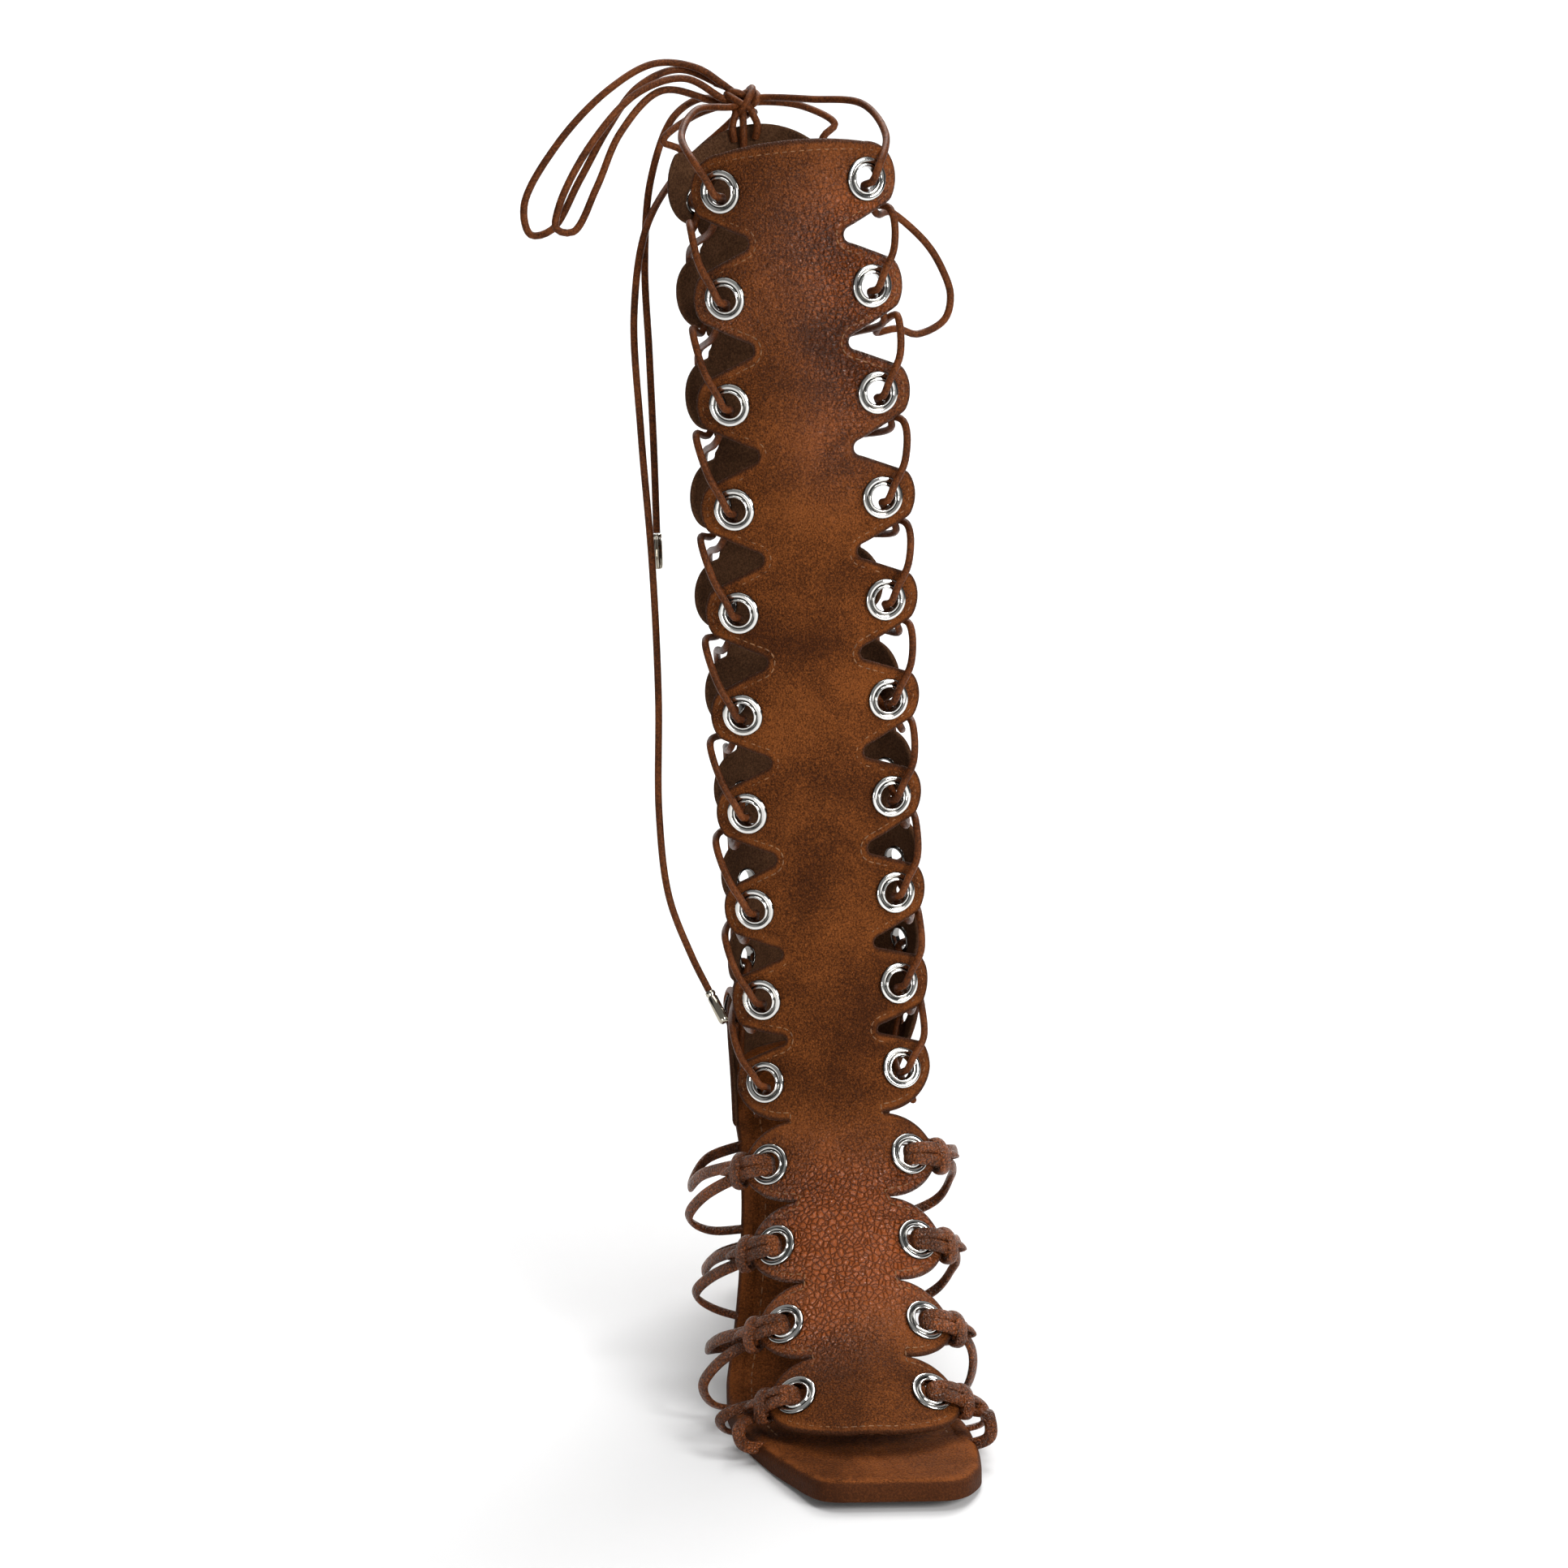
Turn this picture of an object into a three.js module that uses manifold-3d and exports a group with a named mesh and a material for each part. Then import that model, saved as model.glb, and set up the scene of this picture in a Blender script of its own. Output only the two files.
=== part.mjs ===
// A tall right-foot gladiator sandal on a block heel.
// A scalloped front panel runs from the toes up the instep and the shin. A scalloped back panel rises from
// the heel. Two laces close the shaft through eyelets, and four pairs of knotted straps hold the foot.
// Millimetres, +Z up, toe towards -Y, the wearer's medial side towards +X. The origin is on the floor,
// under the ball of the foot.
import * as THREE from "three";
import { mergeVertices } from "three/addons/utils/BufferGeometryUtils.js";
import Module from "manifold-3d";

const wasm = await Module();
wasm.setup();

// ---------------------------------------------------------------- driving dimensions

const GAP = 0.3; // clearance between pieces that touch
const WALL = 2; // both panels: two layers of leather
const CREST = { front: 2.5, back: 7 }; // rise of each panel's top edge at its middle
const LACED_ROWS = 10; // eyelet rows on the shaft, counted from the top
const ROWS = 14; // all eyelet rows of the front panel
const TAB = 12.2; // scalloped tab's tip beyond its eyelet, on the shaft
const EYELET = { hole: 4, barrel: 4.6, flange: 7, back: -1.6, seat: 1.3, front: 2.3 };
const PUNCHED = { radius: 5.6, sides: 6 }; // hole in the leather, round the eyelet's barrel
const LACE = 1.25; // lace's radius
const STRAP = 2; // strap's radius
const KNOT = 3.8; // strap knot's radius

// Eyelet rows of the front panel, from the top edge to the toe edge: the middle line's place, the sideways
// tilt of the row in degrees, the radius that the panel bends to across its width, and how far the
// eyelet and the tab's tip are from the middle line.
const FRONT = [
  { row: 0.5, x: -19, y: 52.4, z: 419, tilt: 4.4, bend: 50, eyelet: 24, tip: 36.2 },
  { row: 1, x: -18.4, y: 52.5, z: 402.1, tilt: 4.4, bend: 50, eyelet: 24, tip: 36.2 },
  { row: 4, x: -14.4, y: 56.2, z: 298.9, tilt: 4.1, bend: 80, eyelet: 24.5, tip: 36.8 },
  { row: 7, x: -11.6, y: 57.2, z: 197.1, tilt: 6.2, bend: 72, eyelet: 24.4, tip: 36.2 },
  { row: 9, x: -8.5, y: 53.5, z: 133.3, tilt: 6.4, bend: 56, eyelet: 23.6, tip: 35.8 },
  { row: 10, x: -7.9, y: 47, z: 106.6, tilt: 5.5, bend: 54, eyelet: 23.4, tip: 35.4 },
  { row: 11, x: -6.5, y: 34.4, z: 81.9, tilt: 3.6, bend: 53, eyelet: 24, tip: 35 },
  { row: 12, x: -4.8, y: 17.8, z: 59.1, tilt: 1.6, bend: 52, eyelet: 23.8, tip: 34.8 },
  { row: 13, x: -2.9, y: -3, z: 39.4, tilt: 0.7, bend: 54, eyelet: 23.3, tip: 34.2 },
  { row: 14, x: -0.9, y: -24.9, z: 23.4, tilt: 0.6, bend: 58, eyelet: 22, tip: 32.6 },
  { row: 14.8, x: 0.8, y: -41, z: 14.4, tilt: 0.6, bend: 58, eyelet: 22, tip: 32.6 },
];

// Rows of the back panel: the rearmost line's place, the tilt of the row, the radius of its round back,
// and the eyelet's distance round from that line. Row 11 is the foot of the heel counter.
const BACK = [
  { row: 0.4, x: -31.4, y: 108, z: 423, tilt: 4.6, radius: 36, eyelet: 21 },
  { row: 1, x: -30.6, y: 108, z: 402.1, tilt: 5, radius: 36, eyelet: 21 },
  { row: 3, x: -26.6, y: 109.6, z: 333.1, tilt: 5.2, radius: 34, eyelet: 20.6 },
  { row: 4, x: -24.6, y: 111.4, z: 298.9, tilt: 5.6, radius: 36, eyelet: 21.4 },
  { row: 5, x: -20.6, y: 115, z: 264.6, tilt: 6, radius: 42, eyelet: 24.2 },
  { row: 7, x: -12.4, y: 126, z: 197.1, tilt: 8.6, radius: 43, eyelet: 28 },
  { row: 9, x: -8.9, y: 142, z: 133, tilt: 6.6, radius: 35.2, eyelet: 33 },
  { row: 10, x: -9.4, y: 153, z: 108, tilt: 3.6, radius: 33.8, eyelet: 40 },
  { row: 10.6, x: -13.2, y: 156.4, z: 96, tilt: 1, radius: 28.8, eyelet: 54 },
  { row: 11, x: -14.8, y: 156.6, z: 86, tilt: 0, radius: 26.6, eyelet: 64 },
];

// Stations of the sole from toe to heel: the underside's height, and its medial and lateral edges.
const SOLE = [
  { y: -68, under: 3, medial: 22, lateral: -10 },
  { y: -67.2, under: 2.9, medial: 25.6, lateral: -13.8 },
  { y: -65, under: 2.6, medial: 28.6, lateral: -16.8 },
  { y: -62, under: 2.2, medial: 31, lateral: -19 },
  { y: -50, under: 1, medial: 35.2, lateral: -25.2 },
  { y: -38, under: 0.3, medial: 35.6, lateral: -31.4 },
  { y: -19, under: 0, medial: 34, lateral: -39.4 },
  { y: -6, under: 0, medial: 30.8, lateral: -43 },
  { y: 6, under: 0, medial: 25.6, lateral: -45.2 },
  { y: 18, under: 4, medial: 20.6, lateral: -45.4 },
  { y: 36, under: 16, medial: 15, lateral: -43 },
  { y: 56, under: 34, medial: 11, lateral: -40.6 },
  { y: 75, under: 50.5, medial: 9.6, lateral: -39.6 },
  { y: 94, under: 63.5, medial: 10.6, lateral: -40.2 },
  { y: 112, under: 71.6, medial: 12.6, lateral: -42 },
  { y: 130, under: 76.6, medial: 13, lateral: -42.6 },
  { y: 144, under: 79.2, medial: 9, lateral: -38.6 },
  { y: 153, under: 80.2, medial: 0.4, lateral: -30 },
  { y: 158, under: 80.8, medial: -9, lateral: -20.6 },
];
const OUTSOLE = 1.8; // thickness of the rubber outsole
const FOOTBED = 5.4; // thickness of the leather-wrapped footbed

// Heel block: where it starts under the sole, and its foot on the floor.
const HEEL = { breast: 108, foot: { x: -14.8, y: 130, width: 45, depth: 42 }, lift: 4, waist: 0.55 };

// Tails of the knotted straps: the furthest point of each one's loop, the point where it turns back under,
// and the station on the footbed's edge where it goes in.
const TAILS = [
  { row: 11, side: "lateral", outer: [-57.3, 66, 61.3], turn: [-51.6, 82, 66], station: 95 },
  { row: 11, side: "lateral", outer: [-57.9, 54, 54.3], turn: [-50.8, 60, 47.4], station: 66.5 },
  { row: 12, side: "lateral", outer: [-52.7, 44, 38.6], turn: [-47.8, 54, 40.7], station: 62 },
  { row: 12, side: "lateral", outer: [-55.7, 32, 35], turn: [-49.8, 37, 27.8], station: 41 },
  { row: 13, side: "lateral", outer: [-51.5, 18, 21], turn: [-49.2, 26, 18], station: 33 },
  { row: 13, side: "lateral", outer: [-53.3, 2, 14], turn: [-50.2, 3, 7.3], station: 5 },
  { row: 14, side: "lateral", outer: [-47.7, -20, 11.6], turn: [-46.2, -18, 6.9], station: -16 },
  { row: 14, side: "lateral", outer: [-42.4, -32, 12], turn: [-41, -30.6, 6.8], station: -28 },
  { row: 11, side: "medial", outer: [33.2, 62, 73.3], turn: [26, 80, 71], station: 97 },
  { row: 11, side: "medial", outer: [32.4, 54, 68.1], turn: [28, 60, 57.6], station: 66.5 },
  { row: 12, side: "medial", outer: [31.2, 44, 48], turn: [24, 54, 45], station: 62 },
  { row: 12, side: "medial", outer: [31.5, 32, 43], turn: [26.9, 37, 34], station: 41 },
  { row: 13, side: "medial", outer: [32.2, 18, 24], turn: [28.5, 26, 19.5], station: 33 },
  { row: 13, side: "medial", outer: [35.9, 2, 17.5], turn: [32.8, 3, 10], station: 5 },
  { row: 14, side: "medial", outer: [38, -21, 14], turn: [38.5, -18, 8], station: -16 },
  { row: 14, side: "medial", outer: [38.8, -32, 16], turn: [39.4, -32, 9], station: -29 },
];
const SIDES = { medial: 1, lateral: -1 };

const LEATHER = new THREE.MeshStandardMaterial({ color: 0x6e3a1c, roughness: 0.55, metalness: 0 });
const CORD = new THREE.MeshStandardMaterial({ color: 0x5c2c14, roughness: 0.5, metalness: 0 });
const RUBBER = new THREE.MeshStandardMaterial({ color: 0x2b1a12, roughness: 0.8, metalness: 0 });
const NICKEL = new THREE.MeshStandardMaterial({ color: 0xd2d0ca, roughness: 0.2, metalness: 1 });

// ---------------------------------------------------------------- tables, vectors and solids

// A smooth function through one column of a table, with no overshoot between its rows.
function column(table, along, name) {
  const u = table.map((row) => row[along]);
  const f = table.map((row) => row[name]);
  const last = u.length - 1;
  const chord = u.slice(1).map((next, i) => (f[i + 1] - f[i]) / (next - u[i]));
  const slope = f.map((_, i) => {
    if (i === 0) return chord[0];
    if (i === last) return chord[last - 1];
    const [before, after] = [chord[i - 1], chord[i]];
    return before * after > 0 ? (2 * before * after) / (before + after) : 0;
  });
  return (at) => {
    let i = 0;
    while (i < last - 1 && at > u[i + 1]) i++;
    const width = u[i + 1] - u[i];
    const k = THREE.MathUtils.clamp((at - u[i]) / width, 0, 1);
    const blend = k * k * (3 - 2 * k);
    return (
      f[i] * (1 - blend) +
      f[i + 1] * blend +
      width * k * (1 - k) * ((1 - k) * slope[i] - k * slope[i + 1])
    );
  };
}

function columns(table, along) {
  const names = Object.keys(table[0]).filter((name) => name !== along);
  return Object.fromEntries(names.map((name) => [name, column(table, along, name)]));
}

const front = columns(FRONT, "row");
const back = columns(BACK, "row");
const sole = columns(SOLE, "y");
const vector = (x, y, z) => new THREE.Vector3(x, y, z);

// Lengths from low to high in equal steps.
function spread(low, high, steps) {
  return Array.from({ length: steps + 1 }, (_, i) => low + ((high - low) * i) / steps);
}

// A closed geometry from a list of equal rings of points. Each end is closed across from its first half
// to its second half, so a ring runs up one side and down the other.
function loft(rings) {
  const count = rings[0].length;
  const index = [];
  rings.slice(1).forEach((_, r) => {
    for (let i = 0; i < count; i++) {
      const j = (i + 1) % count;
      const [a, b, c, d] = [r * count + i, r * count + j, (r + 1) * count + i, (r + 1) * count + j];
      index.push(a, b, d, a, d, c);
    }
  });
  const cap = (start, flip) => {
    for (let i = 0; i < count / 2 - 1; i++) {
      const [a, b, c, d] = [start + i, start + i + 1, start + count - 2 - i, start + count - 1 - i];
      index.push(...(flip ? [a, b, c, a, c, d] : [a, c, b, a, d, c]));
    }
  };
  cap(0, false);
  cap((rings.length - 1) * count, true);
  const geometry = new THREE.BufferGeometry().setFromPoints(rings.flat());
  geometry.setIndex(index);
  return geometry;
}

// A closed geometry between two grids of points, the outer and the inner face of one sheet.
function sheet(outer, inner) {
  return loft(outer.map((row, i) => [...row, ...inner[i].slice().reverse()]));
}

function solid(geometry) {
  const bare = geometry.clone();
  bare.deleteAttribute("normal");
  bare.deleteAttribute("uv");
  const merged = mergeVertices(bare, 1e-4);
  const made = new wasm.Manifold(
    new wasm.Mesh({
      numProp: 3,
      vertProperties: new Float32Array(merged.attributes.position.array),
      triVerts: new Uint32Array(merged.index.array),
    }),
  );
  if (made.volume() > 0) return made;
  const turned = merged.index.array.slice().reverse();
  return new wasm.Manifold(
    new wasm.Mesh({
      numProp: 3,
      vertProperties: new Float32Array(merged.attributes.position.array),
      triVerts: new Uint32Array(turned),
    }),
  );
}

const model = new THREE.Group();

function add(name, made, material) {
  const { vertProperties, triVerts } = made.getMesh();
  const geometry = new THREE.BufferGeometry();
  geometry.setAttribute("position", new THREE.BufferAttribute(new Float32Array(vertProperties), 3));
  geometry.setIndex(new THREE.BufferAttribute(new Uint32Array(triVerts), 1));
  geometry.computeVertexNormals();
  const mesh = new THREE.Mesh(geometry, material);
  mesh.name = name;
  model.add(mesh);
}

// A round bar of the given radius with a ring of corners at each point of its route.
function bar(points, radius, sides) {
  const last = points.length - 1;
  let normal = null;
  const rings = points.map((point, i) => {
    const ahead = points[Math.min(i + 1, last)].clone().sub(point).normalize();
    const behind = point.clone().sub(points[Math.max(i - 1, 0)]).normalize();
    const along = ahead.clone().add(behind).normalize();
    if (!normal) normal = vector(0.3, 0.1, 1);
    normal = normal.clone().addScaledVector(along, -normal.dot(along)).normalize();
    const other = along.clone().cross(normal);
    const mitre = 1 / Math.max(i > 0 && i < last ? along.dot(ahead) : 1, 0.7);
    return spread(0, 2 * Math.PI, sides)
      .slice(0, sides)
      .map((angle) =>
        point
          .clone()
          .addScaledVector(normal, radius * Math.cos(angle) * Math.sqrt(mitre))
          .addScaledVector(other, radius * Math.sin(angle) * Math.sqrt(mitre)),
      );
  });
  return solid(loft(rings));
}

// A round cord along a smooth curve through the points.
function cord(points, radius, steps, sides) {
  const path = new THREE.CatmullRomCurve3(points, false, "centripetal");
  return bar(path.getSpacedPoints(steps), radius, sides);
}

// ---------------------------------------------------------------- front panel

const TOE_EDGE = 20.4; // from the lowest eyelets to the toe edge
const SOFT_NECK = 15.6; // half width between two rounded notches of the shaft
const SHARP_NECK = 14.6; // half width between two pointed notches of the foot
const STEP = 0.01;

// Rise of a panel's arched top edge, above the top eyelets, at a share of its half width.
function crest(height, row, pitch, share) {
  const up = THREE.MathUtils.clamp(((1 - row) * pitch) / TAB, 0, 1);
  return height * up * up * Math.max(1 - share * share, 0);
}

function frontMiddle(row) {
  return vector(front.x(row), front.y(row), front.z(row));
}

// Millimetres along the front panel for one row.
function frontPitch(row) {
  const inside = THREE.MathUtils.clamp(row, 1, ROWS);
  return frontMiddle(inside + STEP).distanceTo(frontMiddle(inside - STEP)) / (2 * STEP);
}

// A point of the front panel: across is the distance from the middle line round the bend, and out the
// height above the middle of the wall.
function frontPoint(row, across, out = 0) {
  const tilt = THREE.MathUtils.degToRad(front.tilt(row));
  const bend = front.bend(row);
  const down = frontMiddle(row + STEP).sub(frontMiddle(row - STEP)).normalize();
  const side = vector(Math.cos(tilt), 0, Math.sin(tilt));
  const outward = down.clone().cross(side).normalize();
  const angle = across / bend;
  const rise = crest(CREST.front, row, frontPitch(1), across / front.eyelet(1));
  return frontMiddle(row)
    .addScaledVector(down, -rise)
    .addScaledVector(side, (bend + out) * Math.sin(angle))
    .addScaledVector(outward, (bend + out) * Math.cos(angle) - bend);
}

// A notch's round end on the shaft: half its opening where the rows are widest apart, the length of its
// round part, and how fast its two flanks open out.
const NOTCH = { opening: 2.6, end: 2.4, flare: 0.17, pitch: 34.4 };

// Half width of a scalloped strip on its shaft: a round tab about each eyelet, and a round-ended notch
// between two tabs. The share runs from 0 at a tab's tip to 1 at the bottom of a notch.
function scallop(share, eyelet, neck, pitch) {
  const below = (share * pitch) / 2;
  const rise = pitch / 2 - below;
  const tab = eyelet + Math.sqrt(Math.max(TAB * TAB - below * below, 0));
  const opening = NOTCH.opening * Math.pow(pitch / NOTCH.pitch, 2);
  const end = NOTCH.end * (1 - Math.sqrt(Math.max(1 - Math.pow(rise / opening, 2), 0)));
  const flank = Math.max(rise / opening - 1, 0) / NOTCH.flare;
  return Math.min(tab, neck + end + flank);
}

function frontHalfWidth(row) {
  const tab = front.tip(row);
  const away = (row < 1 ? 1 - row : row - ROWS) * frontPitch(row);
  if (row < 1) return tab - TAB + Math.sqrt(Math.max(TAB * TAB - away * away, 0));
  if (row > ROWS) return tab * Math.sqrt(Math.max(1 - Math.pow(away / TOE_EDGE, 2), 0.004));
  const share = 2 * Math.abs(row - Math.round(row));
  if (row < LACED_ROWS) return scallop(share, tab - TAB, SOFT_NECK, frontPitch(row));
  return SHARP_NECK + (tab - SHARP_NECK) * Math.sqrt(1 - Math.pow(share, 1.6));
}

// Row numbers at which a scalloped strip is sampled: its tabs, flanks and notch tips, and the two ends.
function scallopRows(first, last, pitch, above, below) {
  const between = [0, 0.2, 0.32, 0.42, 0.5, 0.58, 0.68, 0.8];
  const rows = spread(first, last, last - first);
  return [
    ...above.map((away) => first - away / pitch(first)),
    ...rows.slice(0, -1).flatMap((row) => between.map((share) => row + share)),
    last,
    ...below.map((away) => last + away / pitch(last)),
  ];
}

// Removes an eyelet's hole from a panel. at(out) is the eyelet's centre at a height above the wall.
function punch(panel, at) {
  const centre = at(0);
  const axis = at(1).sub(at(-1)).normalize();
  const { radius, sides } = PUNCHED;
  const drill = new THREE.CylinderGeometry(radius, radius, 3 * WALL, sides);
  drill.applyQuaternion(new THREE.Quaternion().setFromUnitVectors(vector(0, 1, 0), axis));
  drill.translate(centre.x, centre.y, centre.z);
  return panel.subtract(solid(drill));
}

function makeFrontPanel() {
  const rows = scallopRows(1, ROWS, frontPitch, [TAB, 11, 7.5], [6, 11, 15, 18, TOE_EDGE]);
  const across = spread(-1, 1, 4);
  const face = (out) =>
    rows.map((row) => across.map((share) => frontPoint(row, share * frontHalfWidth(row), out)));
  let panel = solid(sheet(face(WALL / 2), face(-WALL / 2)));
  for (let row = 1; row <= ROWS; row++) {
    for (const side of Object.values(SIDES)) {
      panel = punch(panel, (out) => frontPoint(row, side * front.eyelet(row), out));
    }
  }
  add("front_panel", panel, LEATHER);
}

// ---------------------------------------------------------------- back panel with its heel counter

const BACK_NECK = 1.8; // the back panel's notches end this far behind its eyelets
const SQUARER = 0.8; // the back panel's top corners are fuller than a round tab by this share
const SHALLOWER = 14; // how much the notches close towards the heel counter, in one row
const SET_LOW = 0.12; // its eyelets sit this share of a row under the middles of their tabs
const COUNTER_REACH = 76; // half length round the foot of the heel counter

// Height of the footbed's upper face, over a point at this distance along the foot.
function footbedTop(y) {
  return sole.under(y) + (OUTSOLE + FOOTBED) / Math.cos(slopeAt(y));
}

function slopeAt(y) {
  const near = THREE.MathUtils.clamp(y, SOLE[0].y + 1, SOLE[SOLE.length - 1].y - 1);
  return Math.atan2(sole.under(near + 1) - sole.under(near - 1), 2);
}

// A point of the back panel: round is the distance from the rearmost line, over the half-round back and
// then straight forward along the side.
function backPoint(row, round, out = 0) {
  const radius = back.radius(row);
  const quarter = (radius * Math.PI) / 2;
  const angle = THREE.MathUtils.clamp(round / radius, -Math.PI / 2, Math.PI / 2);
  const straight = Math.max(Math.abs(round) - quarter, 0);
  const x = (radius + out) * Math.sin(angle);
  const y = back.y(row) - radius + (radius + out) * Math.cos(angle) - straight;
  const tilt = THREE.MathUtils.degToRad(back.tilt(row));
  const rise = crest(CREST.back, row, backPitch(1), round / back.eyelet(1));
  const height = back.z(row) + x * Math.tan(tilt) + rise;
  const foot = footbedTop(y) + 2 * GAP;
  const counter = THREE.MathUtils.clamp(row - LACED_ROWS, 0, 1);
  return vector(back.x(row) + x, y, height * (1 - counter) + foot * counter);
}

// Row number of a back eyelet. The lowest eyelets are level with their tabs.
function backEyelet(row) {
  return row + SET_LOW * THREE.MathUtils.clamp(LACED_ROWS - row, 0, 1);
}

function backPitch(row) {
  const inside = THREE.MathUtils.clamp(row, 1, LACED_ROWS);
  return (back.z(inside - STEP) - back.z(inside + STEP)) / (2 * STEP);
}

function backHalfWidth(row) {
  const eyelet = back.eyelet(Math.min(row, LACED_ROWS));
  const away = (1 - row) * backPitch(row) * SQUARER;
  if (row < 1) return eyelet + Math.sqrt(Math.max(TAB * TAB - away * away, 0));
  if (row > LACED_ROWS) {
    return THREE.MathUtils.lerp(eyelet + TAB, COUNTER_REACH, Math.pow(row - LACED_ROWS, 1.5));
  }
  const neck = eyelet - BACK_NECK + SHALLOWER * Math.max(row - 9, 0);
  const laced = scallop(2 * Math.abs(row - Math.round(row)), eyelet, neck, backPitch(row));
  return row > 9 ? Math.max(laced, neck) : laced;
}

function makeBackPanel() {
  const rows = scallopRows(1, LACED_ROWS, backPitch, [TAB, 11, 7.5], []);
  rows.push(10.25, 10.5, 10.75, 11);
  const across = spread(-1, 1, 8);
  const face = (out) =>
    rows.map((row) => across.map((share) => backPoint(row, share * backHalfWidth(row), out)));
  let panel = solid(sheet(face(WALL / 2), face(-WALL / 2)));
  for (let row = 1; row <= LACED_ROWS; row++) {
    for (const side of Object.values(SIDES)) {
      panel = punch(panel, (out) => backPoint(backEyelet(row), side * back.eyelet(row), out));
    }
  }
  add("back_panel", panel, LEATHER);
}

// ---------------------------------------------------------------- eyelets

function makeEyelets() {
  const { hole, barrel, flange, back: rear, seat, front: face } = EYELET;
  const profile = [[hole, rear], [barrel, rear], [barrel, seat], [flange, seat], [hole, face]];
  const ring = new THREE.LatheGeometry([...profile, profile[0]].map(([r, h]) => new THREE.Vector2(r, h)), 8);
  for (let row = 1; row <= ROWS; row++) {
    for (const [name, side] of Object.entries(SIDES)) {
      const at = (out) => frontPoint(row, side * front.eyelet(row), out);
      const axis = at(1).sub(at(-1)).normalize();
      const placed = ring.clone();
      placed.applyQuaternion(new THREE.Quaternion().setFromUnitVectors(vector(0, 1, 0), axis));
      placed.translate(...at(0).toArray());
      add(`eyelet_${name}_${String(row).padStart(2, "0")}`, solid(placed), NICKEL);
    }
  }
}

// ---------------------------------------------------------------- outsole, footbed, heel

// A point of the sole at a station: height above the underside, square to its slope, and share across
// from the lateral edge (-1) to the medial edge (1), drawn in by inset.
function solePoint(y, above, share, inset = 0) {
  const slope = slopeAt(y);
  const middle = (sole.medial(y) + sole.lateral(y)) / 2;
  const half = (sole.medial(y) - sole.lateral(y)) / 2 - inset;
  return vector(middle + share * half, y - above * Math.sin(slope), sole.under(y) + above * Math.cos(slope));
}

function makeSole() {
  const stations = SOLE.map((row) => row.y);
  const edge = 1; // the footbed's wrapped upper edge is rounded off by this much
  const slab = (low, high, inset) =>
    stations.map((y) => [
      solePoint(y, low, -1, inset),
      solePoint(y, low, 1, inset),
      solePoint(y, high, 1, inset),
      solePoint(y, high, -1, inset),
    ]);
  add("outsole", solid(loft(slab(0, OUTSOLE - GAP, 1.2))), RUBBER);
  const footbed = stations.map((y) => {
    const [low, shoulder, high] = [OUTSOLE, OUTSOLE + FOOTBED - 2 * edge, OUTSOLE + FOOTBED];
    return [
      solePoint(y, low, -1),
      solePoint(y, low, 1),
      solePoint(y, shoulder, 1),
      solePoint(y, high, 1, edge),
      solePoint(y, high, -1, edge),
      solePoint(y, shoulder, -1),
    ];
  });
  add("footbed", solid(loft(footbed)), LEATHER);
}

// Outline of the heel at a share of its height, from 0 on the lift to 1 under the outsole. The outline
// runs back along the lateral side and forward along the medial side.
function heelRing(share) {
  const stations = [HEEL.breast, 116, 126, 136, 146, 153, 156.6];
  const { x, y, width, depth } = HEEL.foot;
  const narrow = Math.pow(share, 1 / HEEL.waist);
  const lateral = stations.map((station) => {
    const seat = solePoint(station, -GAP, -1, 1.5);
    return place(seat, station);
  });
  const medial = stations.map((station) => place(solePoint(station, -GAP, 1, 1.5), station));
  function place(seat, station) {
    const back = (station - HEEL.breast) / (stations[stations.length - 1] - HEEL.breast);
    const half = (sole.medial(station) - sole.lateral(station)) / 2 - 1.5;
    const widest = (sole.medial(125) - sole.lateral(125)) / 2 - 1.5;
    const sideways = Math.sign(seat.x - (sole.medial(station) + sole.lateral(station)) / 2);
    const foot = vector(x + (sideways * (width / 2) * half) / widest, y + (back - 0.5) * depth, 0);
    return vector(
      THREE.MathUtils.lerp(foot.x, seat.x, narrow),
      THREE.MathUtils.lerp(foot.y, seat.y, narrow),
      THREE.MathUtils.lerp(HEEL.lift + GAP, seat.z, share),
    );
  }
  return [...lateral, ...medial.reverse()];
}

function makeHeel() {
  add("heel_block", solid(loft([0, 0.25, 0.5, 0.75, 1].map(heelRing))), LEATHER);
  const foot = heelRing(0);
  const level = (z) => foot.map((point) => vector(point.x, point.y, z));
  add("top_lift", solid(loft([level(0), level(HEEL.lift)])), RUBBER);
}

// ---------------------------------------------------------------- straps

// A strap goes through its eyelet, is gripped by a knot beyond the tab, and its two ends run down to the
// footbed's edge.
function makeStrap(row, name, side) {
  const eyelet = front.eyelet(row);
  const at = (across, out) => frontPoint(row, side * across, out);
  const knotAt = front.tip(row) + KNOT;
  const knot = at(knotAt, 0);
  const ball = new THREE.IcosahedronGeometry(KNOT, 0);
  ball.translate(...knot.toArray());
  const eye = cord(
    [
      knot,
      at(eyelet + 10, 4.4),
      at(eyelet + 5.5, 4.7),
      at(eyelet + 1.5, 3.2),
      at(eyelet - 1, 0),
      at(eyelet + 1.5, -3.2),
      at(eyelet + 5.5, -4.2),
      at(eyelet + 10, -4),
      knot,
    ],
    1.5,
    9,
    4,
  );
  let strap = solid(ball).add(eye);
  for (const { outer, turn, station } of TAILS.filter((tail) => tail.row === row && tail.side === name)) {
    const entry = solePoint(station, OUTSOLE + FOOTBED / 2, side, -STRAP / 2 - GAP);
    strap = strap.add(cord([knot, vector(...outer), vector(...turn), entry], STRAP, 8, 4));
  }
  add(`strap_${name}_${row}`, strap, LEATHER);
}

function makeStraps() {
  for (let row = LACED_ROWS + 1; row <= ROWS; row++) {
    for (const [name, side] of Object.entries(SIDES)) makeStrap(row, name, side);
  }
}

// ---------------------------------------------------------------- laces, bow and ends

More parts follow.
